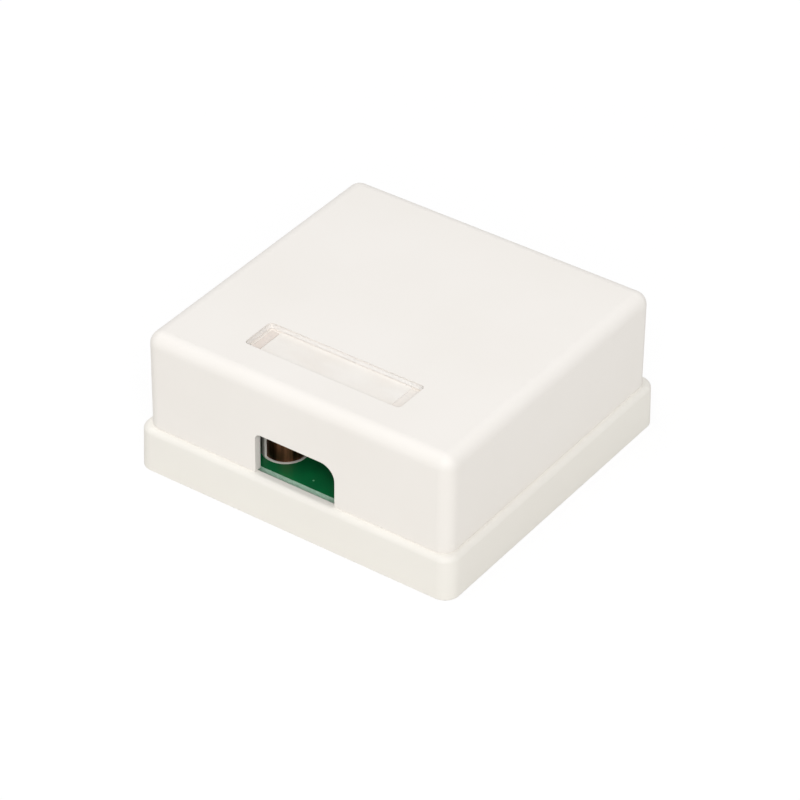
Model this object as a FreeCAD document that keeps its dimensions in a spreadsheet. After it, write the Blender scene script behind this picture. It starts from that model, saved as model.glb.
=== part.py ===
import FreeCAD, Part
import math
import os
import re

import Sketcher
from FreeCAD import Placement, Rotation, Vector

# Surface mount jack box: a base tray, a lift-off cover with a label window, and a circuit board that
# carries two shielded sockets and their punch-down blocks. Millimetres and degrees.
# Origin: centre of the underside. +Z is up, -Y is the cable side, +Y is the socket side.

doc = FreeCAD.newDocument("SurfaceMountJackBox")

drivingSizes = [
    # outer form
    ("boxWidth", "66.5", "base tray, side to side"),
    ("boxDepth", "65.0", "base tray, cable side to socket side"),
    ("boxHeight", "28.0", "underside to top of cover"),
    ("ledge", "1.4", "how far the tray stands out past the cover"),
    # base tray
    ("baseHeight", "8.6", "underside to ledge"),
    ("baseDraft", "1.0", "taper of the tray's outer walls"),
    ("baseCorner", "2.8", "rounding of the tray's upright corners"),
    ("baseEdge", "1.1", "rounding along the ledge"),
    ("baseWall", "2.1", "thickness of the tray's walls"),
    ("baseInnerCorner", "1.2", "rounding inside the tray's corners"),
    ("floorThick", "2.0", "thickness of the tray's floor"),
    ("bossRadius", "3.0", "bosses under the board's screws"),
    ("pilotRadius", "1.25", "pilot hole in a boss"),
    ("pilotDepth", "5.2", "depth of a pilot hole"),
    ("ribThick", "1.6", "ribs that carry the board"),
    ("spineRibLength", "42.0", "rib between the two sockets"),
    ("spineRibInset", "3.2", "rib's end behind the sockets' faces"),
    ("slotInset", "6.15", "wall-fixing slot's middle from the tray's inner wall"),
    ("slotWidth", "4.2", "wall-fixing slot"),
    ("slotLength", "8.0", "wall-fixing slot, end to end"),
    ("collarWidth", "1.5", "raised rim round a wall-fixing slot"),
    ("collarHeight", "0.8", "raised rim round a wall-fixing slot"),
    # post and sleeve behind the cable opening
    ("postX", "-8.15", "post, sideways"),
    ("postInset", "6.5", "post's axis behind the board's front edge"),
    ("postRadius", "4.28", "foot and key of the post"),
    ("postLip", "0.4", "foot showing round the sleeve"),
    ("postRise", "0.05", "foot above the board"),
    ("postHeight", "8.0", "post above its foot"),
    ("keyStart", "112.0", "where the post's key begins"),
    ("keyEnd", "248.0", "where the post's key ends"),
    ("keyGap", "1.0", "angle between the key and the sleeve"),
    ("sleeveThick", "0.35", "rolled sleeve's sheet"),
    ("sleeveGap", "0.05", "between post and sleeve"),
    ("sleeveHeight", "7.0", "rolled sleeve"),
    ("tailWidth", "1.0", "sleeve's soldered tail"),
    ("tailReach", "6.0", "sleeve's tail from the post's axis"),
    ("tailLift", "0.02", "sleeve's tail above the post's foot"),
    ("tailBelow", "1.0", "sleeve's tail below the board"),
    # cover
    ("coverWall", "1.5", "thickness of the cover's walls"),
    ("coverTop", "2.2", "thickness of the cover's top"),
    ("coverEdge", "2.5", "rounding of the cover's upright corners and round its top"),
    ("coverInnerCorner", "1.0", "rounding inside the cover's corners"),
    ("lipDrop", "1.8", "cover's lip, down inside the tray"),
    ("lipGap", "0.1", "between lip and tray"),
    ("tongueWidth", "7.0", "tongues below the lip"),
    ("tongueDrop", "3.2", "tongues below the lip"),
    ("tongueSpacing", "26.0", "between a side's two tongues"),
    ("lipRelief", "2.0", "lip left out at each side of the cable opening"),
    ("entryX", "0.12", "cable opening, sideways"),
    ("entryWidth", "16.75", "cable opening"),
    ("entryTop", "16.75", "top of the cable opening, from the underside"),
    ("entryTight", "1.2", "upper corner of the cable opening beside the post"),
    ("entryRadius", "3.0", "other upper corner of the cable opening"),
    ("portGap", "0.2", "between a socket and its notch in the cover"),
    ("holdRibThick", "1.2", "ribs that hold the sockets down"),
    ("holdRibLength", "15.0", "ribs that hold the sockets down"),
    ("holdRibSpread", "10.0", "between a socket's two ribs"),
    ("holdGap", "0.15", "between a rib and its socket"),
    # label window
    ("windowWidth", "32.5", "label recess, side to side"),
    ("windowBreadth", "7.6", "label recess, front to back"),
    ("windowInset", "11.6", "middle of the label recess behind the cover's front"),
    ("windowCorner", "0.8", "corners of the label recess"),
    ("windowRecess", "1.3", "depth of the label recess"),
    ("windowGap", "0.1", "between window and recess"),
    ("windowSink", "0.1", "window below the cover's top"),
    ("cardMargin", "2.5", "recess left clear at each end of the card"),
    ("cardGap", "0.2", "card to the recess's long sides"),
    ("cardThick", "0.2", "paper card"),
    ("cardAir", "0.05", "between card and window"),
    ("legInset", "1.3", "window's leg from the recess's end"),
    ("legThick", "1.0", "window's leg"),
    ("legWidth", "3.6", "window's leg"),
    ("legPassage", "0.2", "round a leg in its slot"),
    ("legBelow", "0.6", "leg past the inside of the cover's top"),
    # circuit board
    ("boardSeat", "6.75", "top of the bosses"),
    ("boardThick", "1.6", "circuit board"),
    ("boardGap", "0.6", "between board and cover's lip"),
    ("boardCorner", "1.0", "board's corners"),
    ("notchReach", "10.0", "side notch over a wall-fixing slot"),
    ("notchBreadth", "10.0", "side notch over a wall-fixing slot"),
    ("holeGap", "0.1", "round what passes through the board"),
    ("cutMargin", "0.5", "how far an edge cut runs past the edge"),
    # board screws
    ("screwSideInset", "4.75", "board screws from the board's sides"),
    ("screwEndInset", "5.0", "board screws from the board's front and back"),
    ("screwHeadRadius", "2.8", "pan head"),
    ("screwHeadHeight", "1.9", "pan head"),
    ("screwHeadBevel", "0.6", "bevel round the head"),
    ("screwShank", "1.2", "radius of the shank"),
    ("screwPassage", "0.2", "between a screw and the board"),
    ("screwLength", "6.0", "under the head"),
    ("recessLength", "3.2", "cross recess"),
    ("recessWidth", "0.7", "cross recess"),
    ("recessDepth", "1.1", "cross recess"),
    # sockets
    ("jackPitch", "21.0", "between the two sockets"),
    ("jackGap", "0.2", "between the sockets' faces and the tray's wall"),
    ("housingWidth", "15.6", "socket's moulding"),
    ("housingHeight", "13.2", "socket's moulding"),
    ("housingDepth", "20.75", "socket's moulding"),
    ("shieldThick", "0.25", "sheet of the shield"),
    ("shieldLift", "0.15", "shield above the board"),
    ("plugWidth", "11.9", "plug cavity"),
    ("plugBottom", "3.4", "plug cavity above the board"),
    ("plugTop", "10.3", "plug cavity above the board"),
    ("plugDepth", "12.5", "plug cavity"),
    ("latchWidth", "6.3", "latch groove"),
    ("latchBottom", "1.2", "latch groove above the board"),
    ("mouthChamfer", "0.4", "bevel round the plug cavity"),
    ("frameGap", "0.1", "shield's front opening round the plug cavity"),
    ("channelWidth", "8.8", "passage for the contact wires"),
    ("channelBottom", "11.0", "passage for the contact wires"),
    ("channelTop", "12.2", "passage for the contact wires"),
    ("channelStart", "1.4", "passage behind the moulding's face"),
    ("combWidth", "0.62", "slot for one contact wire"),
    ("combLength", "8.6", "slot for one contact wire"),
    ("chamberWidth", "12.0", "space for the contact carrier"),
    ("chamberLength", "7.0", "space for the contact carrier"),
    ("carrierGap", "0.1", "round the contact carrier"),
    ("pegRadius", "1.6", "socket's locating pegs"),
    ("pegSpacing", "11.43", "between the two pegs"),
    ("pegY", "10.0", "pegs behind the socket's face"),
    ("pegLength", "3.2", "pegs below the board's top"),
    ("nubLength", "2.4", "nubs that hold the moulding in the shield's windows"),
    ("nubHeight", "1.2", "nubs that hold the moulding in the shield's windows"),
    ("nubZ", "7.5", "nubs above the board"),
    ("nubSpacing", "8.0", "between a side's two nubs"),
    ("nubGap", "0.1", "between a nub and its window"),
    ("fingerRoot", "6.0", "roots of the shield's spring fingers behind the face"),
    ("fingerLength", "4.2", "spring fingers cut in the shield's top"),
    ("fingerWidth", "1.8", "spring fingers cut in the shield's top"),
    ("fingerSlot", "0.4", "cut round a spring finger"),
    ("fingerSpacing", "6.5", "between the two spring fingers"),
    ("tabWidth", "1.5", "shield's soldered tabs"),
    ("tabY", "7.0", "shield's tabs behind the socket's face"),
    ("tabLength", "3.0", "shield's tabs"),
    ("contactSpacing", "1.016", "between neighbouring contact wires"),
    ("wireThick", "0.4", "contact wire, drawn square"),
    ("wirePassage", "0.64", "hole for a wire in the carrier"),
    ("wireHeight", "11.6", "wires' run above the board"),
    ("wireFront", "2.0", "wires' front bend behind the face"),
    ("wireEnd", "9.5", "spring's free end behind the face"),
    ("wireDrop", "3.7", "spring's fall over its length"),
    ("wireBend", "0.55", "bend over the carrier"),
    ("wireNose", "0.7", "bend at the front"),
    ("wireTail", "3.0", "tail below the board's top"),
    ("nearTailDepth", "15.6", "front row of tails behind the face"),
    ("tailStep", "2.54", "between the two rows of tails"),
    # punch-down blocks
    ("blockSetback", "34.2", "middle of the blocks behind the sockets' faces"),
    ("blockWidth", "17.6", "punch-down block"),
    ("blockBreadth", "12.0", "punch-down block"),
    ("blockFoot", "3.0", "height of the block's foot"),
    ("blockHeight", "11.5", "height of the block"),
    ("rowSpacing", "6.4", "between the two rows of towers"),
    ("towerBreadth", "4.4", "thickness of a tower"),
    ("towerTip", "1.2", "thickness of a tower's tip"),
    ("towerShoulder", "9.5", "where a tower begins to taper"),
    ("wireSpacing", "3.8", "between neighbouring wire slots"),
    ("wireSlotWidth", "1.3", "wire slot"),
    ("wireSlotFloor", "4.2", "bottom of a wire slot"),
    ("mouthWidth", "2.9", "flared mouth of a wire slot"),
    ("mouthDepth", "1.6", "flared mouth of a wire slot"),
    ("bladeAngle", "45.0", "blade across its wire slot"),
    ("bladeThick", "0.5", "forked blade"),
    ("bladeWidth", "3.2", "forked blade"),
    ("bladeBottom", "1.1", "blade's shoulder above the board"),
    ("bladeTop", "9.6", "blade's tips above the board"),
    ("bladeSlit", "0.4", "between the blade's tines"),
    ("bladeSlitFloor", "4.5", "bottom of the slit above the board"),
    ("bladeMouth", "1.6", "flare between the tips"),
    ("bladeMouthDepth", "0.8", "flare between the tips"),
    ("bladeTail", "0.7", "blade's soldered tail"),
    ("bladeTailLength", "3.2", "tail below the board's top"),
    ("bladeGap", "0.1", "round a blade in its block"),
]

sizes = doc.addObject("Spreadsheet::Sheet", "Sizes")
for row, (alias, number, meaning) in enumerate(drivingSizes, start=1):
    sizes.set(f"A{row}", alias)
    sizes.set(f"B{row}", number)
    sizes.setAlias(f"B{row}", alias)
    sizes.set(f"C{row}", meaning)
doc.recompute()

# Sizes that follow from the driving ones, written out wherever they are named.
followingSizes = {
    "coverWidth": "boxWidth - 2 * ledge",
    "coverDepth": "boxDepth - 2 * ledge",
    "coverInnerWidth": "coverWidth - 2 * coverWall",
    "coverInnerDepth": "coverDepth - 2 * coverWall",
    "trayWidth": "boxWidth - 2 * baseWall",
    "trayDepth": "boxDepth - 2 * baseWall",
    "lipBottom": "baseHeight - lipDrop",
    "ceiling": "boxHeight - coverTop",
    "boardTop": "boardSeat + boardThick",
    "boardWidth": "coverInnerWidth - 2 * boardGap",
    "boardDepth": "coverInnerDepth - 2 * boardGap",
    "footTop": "boardTop + postRise",
    "postY": "postInset - boardDepth / 2",
    "screwX": "boardWidth / 2 - screwSideInset",
    "screwY": "boardDepth / 2 - screwEndInset",
    "slotX": "trayWidth / 2 - slotInset",
    "windowY": "windowInset - coverDepth / 2",
    "sleeveOuter": "postRadius - postLip",
    "sleeveInner": "sleeveOuter - sleeveThick",
    "jackFront": "trayDepth / 2 - jackGap",
    "jackWidth": "housingWidth + 2 * shieldThick",
    "jackHeight": "housingHeight + shieldThick",
    "jackDepth": "housingDepth + 2 * shieldThick",
    "recessFloor": "boxHeight - windowRecess",
    "lensBottom": "recessFloor + cardThick + cardAir",
    "lensTop": "boxHeight - windowSink",
    "legX": "windowWidth / 2 - legInset",
    "carrierTop": "channelBottom",
    "farTailDepth": "nearTailDepth + tailStep",
    "firstWire": "-3.5 * contactSpacing",
    "secondWire": "-2.5 * contactSpacing",
    "blockY": "jackFront - blockSetback",
    "firstSlot": "-1.5 * wireSpacing",
}
aliases = {alias for alias, number, meaning in drivingSizes}

tolerance = 1e-4
slotsInRow = 4
wiresInRow = 4
wiresInSocket = 8
contactRows = (("firstWire", "nearTailDepth"), ("secondWire", "farTailDepth"))
towerRows = ("-rowSpacing / 2", "rowSpacing / 2")
nubPlaces = ("-(jackDepth - nubSpacing) / 2", "-(jackDepth + nubSpacing) / 2")


def formula(text):
    """The expression text with each named size written out as its spreadsheet cell."""

    def writeOut(match):
        word = match.group(0)
        if word in followingSizes:
            return "(" + formula(followingSizes[word]) + ")"
        return "Sizes." + word if word in aliases else word

    return re.sub(r"[A-Za-z]\w*", writeOut, str(text))


def valueOf(text):
    return float(sizes.evalExpression(formula(text)))


def newBody(label, x="0", y="0", z="0"):
    body = doc.addObject("PartDesign::Body", "Body_" + label)
    body.Label = label
    for axis, place in zip("xyz", (x, y, z)):
        body.setExpression("Placement.Base." + axis, formula(place))
    return body


def originOf(body, role):
    return next(item for item in body.Origin.OriginFeatures if item.Role == role)


def newSketch(body, name, plane="XY_Plane", right="0", up="0", out="0", turn=None):
    """A sketch on one of the body's own planes, moved within the plane by right and up and along its
    normal by out. turn is (axis, degrees) in the sketch's own frame."""
    sketch = body.newObject("Sketcher::SketchObject", name)
    sketch.AttachmentSupport = (originOf(body, plane), [""])
    sketch.MapMode = "FlatFace"
    if turn:
        axis, degrees = turn
        sketch.AttachmentOffset = Placement(Vector(), Rotation(axis, valueOf(degrees)))
        sketch.setExpression("AttachmentOffset.Rotation.Angle", formula(degrees) + " * 1 deg")
    for direction, distance in zip("xyz", (right, up, out)):
        sketch.setExpression("AttachmentOffset.Base." + direction, formula(distance))
    return sketch


def bind(sketch, constraint, text):
    index = sketch.addConstraint(constraint)
    sketch.setExpression(f"Constraints[{index}]", formula(text))


def pin(sketch, geometry, point, x, y):
    """Fixes a point of the sketch at x, y from its origin."""
    for kind, place, axis in (("DistanceX", x, -2), ("DistanceY", y, -1)):
        if str(place) == "0":
            sketch.addConstraint(Sketcher.Constraint("PointOnObject", geometry, point, axis))
        else:
            bind(sketch, Sketcher.Constraint(kind, -1, 1, geometry, point, valueOf(place)), place)


def addCircle(sketch, radius, x="0", y="0"):
    centre = Vector(valueOf(x), valueOf(y), 0)
    circle = sketch.addGeometry(Part.Circle(centre, Vector(0, 0, 1), valueOf(radius)))
    bind(sketch, Sketcher.Constraint("Radius", circle, valueOf(radius)), radius)
    pin(sketch, circle, 3, x, y)


def addPolygon(sketch, corners):
    """A closed outline of straight lines through the corners, each an (x, y) pair of sizes."""
    points = [Vector(valueOf(x), valueOf(y), 0) for x, y in corners]
    first = sketch.GeometryCount
    count = len(points)
    for i in range(count):
        sketch.addGeometry(Part.LineSegment(points[i], points[(i + 1) % count]))
    for i in range(count):
        following = first + (i + 1) % count
        sketch.addConstraint(Sketcher.Constraint("Coincident", first + i, 2, following, 1))
    for i, (x, y) in enumerate(corners):
        pin(sketch, first + i, 1, x, y)


def addRectangle(sketch, width, height, x="0", y="0"):
    """A sharp rectangle whose middle is at x, y."""
    left, right = f"({x}) - ({width}) / 2", f"({x}) + ({width}) / 2"
    low, high = f"({y}) - ({height}) / 2", f"({y}) + ({height}) / 2"
    addPolygon(sketch, [(left, low), (right, low), (right, high), (left, high)])


def addOctagon(sketch, reach, x="0", y="0"):
    """A regular octagon about x, y, reach from its middle to its sides: a small hole or peg with few
    faces."""
    half = f"({reach}) * (sqrt(2) - 1)"
    ring = [(reach, half), (half, reach)]
    for turn in range(3):
        ring += [(f"-({up})", across) for across, up in ring[-2:]]
    addPolygon(sketch, [(f"({x}) + ({across})", f"({y}) + ({up})") for across, up in ring])


def addRoundedRectangle(sketch, width, height, radius):
    """A rectangle with rounded corners about the sketch's origin."""
    w, h, r = valueOf(width) / 2, valueOf(height) / 2, valueOf(radius)
    normal = Vector(0, 0, 1)
    quarter = math.pi / 2
    first = sketch.GeometryCount
    sides = [
        ((-w + r, -h), (w - r, -h)),
        ((w, -h + r), (w, h - r)),
        ((w - r, h), (-w + r, h)),
        ((-w, h - r), (-w, -h + r)),
    ]
    middles = [(w - r, -h + r), (w - r, h - r), (-w + r, h - r), (-w + r, -h + r)]
    for i, ((start, end), middle) in enumerate(zip(sides, middles)):
        sketch.addGeometry(Part.LineSegment(Vector(*start, 0), Vector(*end, 0)))
        circle = Part.Circle(Vector(*middle, 0), normal, r)
        sketch.addGeometry(Part.ArcOfCircle(circle, (i - 1) * quarter, i * quarter))
    lines = [first, first + 2, first + 4, first + 6]
    arcs = [first + 1, first + 3, first + 5, first + 7]
    for i in range(4):
        sketch.addConstraint(Sketcher.Constraint("Tangent", lines[i], 2, arcs[i], 1))
        sketch.addConstraint(Sketcher.Constraint("Tangent", arcs[i], 2, lines[(i + 1) % 4], 1))
        kind = "Vertical" if i % 2 else "Horizontal"
        sketch.addConstraint(Sketcher.Constraint(kind, lines[i]))
    for arc in arcs[1:]:
        sketch.addConstraint(Sketcher.Constraint("Equal", arcs[0], arc))
    sketch.addConstraint(Sketcher.Constraint("Symmetric", arcs[0], 3, arcs[2], 3, -1, 1))
    bind(sketch, Sketcher.Constraint("Radius", arcs[0], r), radius)
    bind(sketch, Sketcher.Constraint("DistanceX", lines[3], 1, lines[1], 2, 2 * w), width)
    bind(sketch, Sketcher.Constraint("DistanceY", lines[0], 1, lines[2], 1, 2 * h), height)


def addSlot(sketch, length, width, x="0"):
    """A straight slot with round ends, along the sketch's first axis, centred at x on that axis."""
    roundRadius = valueOf(width) / 2
    reach = valueOf(length) / 2 - roundRadius
    centre = valueOf(x)
    quarter = math.pi / 2
    first = sketch.GeometryCount
    for side, start in ((1, -quarter), (-1, quarter)):
        circle = Part.Circle(Vector(centre + side * reach, 0, 0), Vector(0, 0, 1), roundRadius)
        sketch.addGeometry(Part.ArcOfCircle(circle, start, start + 2 * quarter))
    top = (Vector(centre + reach, roundRadius, 0), Vector(centre - reach, roundRadius, 0))
    bottom = (Vector(centre - reach, -roundRadius, 0), Vector(centre + reach, -roundRadius, 0))
    sketch.addGeometry(Part.LineSegment(*top))
    sketch.addGeometry(Part.LineSegment(*bottom))
    right, left, upper, lower = first, first + 1, first + 2, first + 3
    sketch.addConstraint(Sketcher.Constraint("Tangent", right, 2, upper, 1))
    sketch.addConstraint(Sketcher.Constraint("Tangent", upper, 2, left, 1))
    sketch.addConstraint(Sketcher.Constraint("Tangent", left, 2, lower, 1))
    sketch.addConstraint(Sketcher.Constraint("Tangent", lower, 2, right, 1))
    sketch.addConstraint(Sketcher.Constraint("Equal", right, left))
    bind(sketch, Sketcher.Constraint("Radius", right, roundRadius), f"({width}) / 2")
    pin(sketch, right, 3, f"({x}) + (({length}) - ({width})) / 2", "0")
    pin(sketch, left, 3, f"({x}) - (({length}) - ({width})) / 2", "0")


def addSector(sketch, start, end, outer, inner=None):
    """A sector about the sketch's origin from angle start to end, in degrees: a wedge, or a piece of a
    ring where inner is given."""
    a, b = valueOf(start), valueOf(end)
    across = {}
    for name, radius in (("outer", outer), ("inner", inner)):
        if radius is None:
            continue
        circle = Part.Circle(Vector(), Vector(0, 0, 1), valueOf(radius))
        arc = sketch.addGeometry(Part.ArcOfCircle(circle, math.radians(a), math.radians(b)))
        sketch.addConstraint(Sketcher.Constraint("Coincident", arc, 3, -1, 1))
        bind(sketch, Sketcher.Constraint("Radius", arc, valueOf(radius)), radius)
        across[name] = arc
    for point, angle, text in ((1, a, start), (2, b, end)):
        direction = Rotation(Vector(0, 0, 1), angle).multVec(Vector(1, 0, 0))
        base = direction * (valueOf(inner) if inner else 0.0)
        side = sketch.addGeometry(Part.LineSegment(base, direction * valueOf(outer)))
        if inner:
            sketch.addConstraint(Sketcher.Constraint("Coincident", side, 1, across["inner"], point))
            guide = sketch.addGeometry(Part.LineSegment(Vector(), base), True)
            sketch.addConstraint(Sketcher.Constraint("Coincident", guide, 1, -1, 1))
            sketch.addConstraint(Sketcher.Constraint("Coincident", guide, 2, side, 1))
            sketch.addConstraint(Sketcher.Constraint("PointOnObject", -1, 1, side))
        else:
            sketch.addConstraint(Sketcher.Constraint("Coincident", side, 1, -1, 1))
        sketch.addConstraint(Sketcher.Constraint("Coincident", side, 2, across["outer"], point))
        turned = Sketcher.Constraint("Angle", -1, 1, side, 1, math.radians(angle))
        index = sketch.addConstraint(turned)
        sketch.setExpression(f"Constraints[{index}]", f"({formula(text)}) * 1 deg")


def addWirePath(sketch, tail):
    """A contact wire's centre line, seen from its side: up from its tail, over the carrier, forward to
    the nose and back down to the spring's free end. The bends are made of short straight runs."""
    noseX, noseZ = "(wireFront + wireNose)", "(wireHeight - wireNose)"
    path = [(f"-{tail}", "-wireTail"), (f"-{tail}", "wireHeight - wireBend")]
    path.append((f"wireBend - {tail}", "wireHeight"))
    for angle in (90, 30, -15, -60):
        along, up = f"wireNose * cos({angle} deg)", f"wireNose * sin({angle} deg)"
        path.append((f"{along} - {noseX}", f"{up} + {noseZ}"))
    path.append(("-wireEnd", "wireHeight - wireDrop"))
    points = [Vector(valueOf(x), valueOf(y), 0) for x, y in path]
    for i, (start, end) in enumerate(zip(points, points[1:])):
        sketch.addGeometry(Part.LineSegment(start, end))
        if i:
            sketch.addConstraint(Sketcher.Constraint("Coincident", i - 1, 2, i, 1))
        pin(sketch, i, 1, *path[i])
    pin(sketch, len(path) - 2, 2, *path[-1])


def pad(body, sketch, length, name, reverse=False, middle=False):
    feature = body.newObject("PartDesign::Pad", name)
    feature.Profile = sketch
    feature.setExpression("Length", formula(length))
    feature.Reversed = reverse
    feature.Midplane = middle
    doc.recompute()
    return feature


def pocket(body, sketch, length, name, reverse=False):
    """Cuts away from the sketch's normal, or along it with reverse. Stops if nothing was cut."""
    before = body.Shape.Volume
    feature = body.newObject("PartDesign::Pocket", name)
    feature.Profile = sketch
    feature.setExpression("Length", formula(length))
    feature.Reversed = reverse
    doc.recompute()
    if not body.Shape.Volume < before - tolerance:
        raise RuntimeError(f"{body.Label}: {name} cuts nothing")
    return feature


def repeat(body, originals, spacing, count, name, axis="X_Axis"):
    pattern = body.newObject("PartDesign::LinearPattern", name)
    pattern.Originals = originals
    pattern.Direction = (originOf(body, axis), [""])
    pattern.Mode = "Spacing"
    pattern.setExpression("Offset", formula(spacing))
    pattern.Occurrences = count
    body.Tip = pattern
    doc.recompute()
    return pattern


def namesWhere(feature, kind, accept):
    """Names of the feature's edges or faces, as kind says, that accept agrees to."""
    shapes = feature.Shape.Edges if kind == "Edge" else feature.Shape.Faces
    found = [f"{kind}{i}" for i, shape in enumerate(shapes, start=1) if accept(shape)]
    if not found:
        raise RuntimeError(f"{feature.Label} has no such {kind}")
    return found


def draft(body, feature, faces, angle, name):
    """Leans the faces inwards from the body's XY plane upwards."""
    lean = body.newObject("PartDesign::Draft", name)
    lean.Base = (feature, faces)
    lean.NeutralPlane = (originOf(body, "XY_Plane"), [""])
    lean.setExpression("Angle", f"({formula(angle)}) * 1 deg")
    doc.recompute()
    return lean


def fillet(body, feature, edges, radius, name):
    rounded = body.newObject("PartDesign::Fillet", name)
    rounded.Base = (feature, edges)
    rounded.setExpression("Radius", formula(radius))
    doc.recompute()
    return rounded


def chamfer(body, feature, edges, size, name):
    bevel = body.newObject("PartDesign::Chamfer", name)
    bevel.Base = (feature, edges)
    bevel.setExpression("Size", formula(size))
    doc.recompute()
    return bevel


def near(a, b):
    return abs(a - b) < tolerance


def standing(shape, height):
    """True for an edge or face that climbs at least half of height."""
    return shape.BoundBox.ZLength > height / 2


def level(edge, height):
    """True for an edge that lies at height."""
    return near(edge.BoundBox.ZMin, height) and near(edge.BoundBox.ZMax, height)


def makeBaseTray():
    """Tray: tapered walls with a rounded ledge, open at the top, with bosses and ribs for the board,
    two wall-fixing slots and the post behind the cable opening."""
    body = newBody("base_tray")
    outline = newSketch(body, "TrayOutline")
    addRectangle(outline, "boxWidth", "boxDepth")
    block = pad(body, outline, "baseHeight", "TrayBlock")
    height = valueOf("baseHeight")
    walls = namesWhere(block, "Face", lambda face: standing(face, height))
    block = draft(body, block, walls, "baseDraft", "TrayDraft")
    corners = namesWhere(block, "Edge", lambda edge: standing(edge, height))
    block = fillet(body, block, corners, "baseCorner", "TrayCorners")
    rim = namesWhere(block, "Edge", lambda edge: level(edge, height))
    fillet(body, block, rim, "baseEdge", "LedgeRounding")
    hollow = newSketch(body, "TrayHollowOutline", out="baseHeight")
    addRoundedRectangle(hollow, "trayWidth", "trayDepth", "baseInnerCorner")
    pocket(body, hollow, "baseHeight - floorThick", "TrayHollow")

    bosses = newSketch(body, "BossOutlines", out="floorThick")
    pilots = newSketch(body, "PilotOutlines", out="boardSeat")
    for x in ("screwX", "-screwX"):
        for y in ("screwY", "-screwY"):
            addCircle(bosses, "bossRadius", x, y)
            addOctagon(pilots, "pilotRadius", x, y)
    pad(body, bosses, "boardSeat - floorThick", "Bosses")
    pocket(body, pilots, "pilotDepth", "PilotHoles")
    crossRib = newSketch(body, "CrossRibOutline", up="blockY", out="floorThick")
    addRectangle(crossRib, "2 * slotX - slotLength - 2 * collarWidth", "ribThick")
    pad(body, crossRib, "boardSeat - floorThick", "CrossRib")
    spineRibY = "jackFront - spineRibInset - spineRibLength / 2"
    spineRib = newSketch(body, "SpineRibOutline", up=spineRibY, out="floorThick")
    addRectangle(spineRib, "ribThick", "spineRibLength")
    pad(body, spineRib, "boardSeat - floorThick", "SpineRib")

    collars = newSketch(body, "CollarOutlines", out="floorThick")
    slots = newSketch(body, "SlotOutlines", out="floorThick + collarHeight")
    for x in ("slotX", "-slotX"):
        addSlot(collars, "slotLength + 2 * collarWidth", "slotWidth + 2 * collarWidth", x)
        addSlot(slots, "slotLength", "slotWidth", x)
    pad(body, collars, "collarHeight", "SlotCollars")
    pocket(body, slots, "floorThick + collarHeight", "WallSlots")

    foot = newSketch(body, "PostFootOutline", right="postX", up="postY", out="floorThick")
    addCircle(foot, "postRadius")
    pad(body, foot, "footTop - floorThick", "PostFoot")
    core = newSketch(body, "PostCoreOutline", right="postX", up="postY", out="footTop")
    addCircle(core, "sleeveInner - sleeveGap")
    pad(body, core, "postHeight", "PostCore")
    key = newSketch(body, "PostKeyOutline", right="postX", up="postY", out="footTop")
    addSector(key, "keyStart", "keyEnd", "postRadius")
    pad(body, key, "postHeight", "PostKey")
    return body


def makeShieldSleeve():
    """Rolled sleeve: a C of sheet metal round the post, with a bent tail soldered in the board."""
    body = newBody("shield_sleeve", "postX", "postY", "footTop")
    ring = newSketch(body, "SleeveOutline")
    addSector(ring, "keyEnd + keyGap - 360", "keyStart - keyGap", "sleeveOuter", "sleeveInner")
    pad(body, ring, "sleeveHeight", "RolledSleeve")
    tail = newSketch(body, "TailOutline", plane="YZ_Plane")
    middle = "(sleeveOuter + sleeveInner) / 2"
    tip = "-(postRise + boardThick + tailBelow)"
    corners = [
        (middle, "tailLift"),
        ("tailReach - sleeveThick", "tailLift"),
        ("tailReach - sleeveThick", tip),
        ("tailReach", tip),
        ("tailReach", "sleeveThick"),
        (middle, "sleeveThick"),
    ]
    addPolygon(tail, corners)
    pad(body, tail, "tailWidth", "SolderTail", middle=True)
    return body


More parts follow.
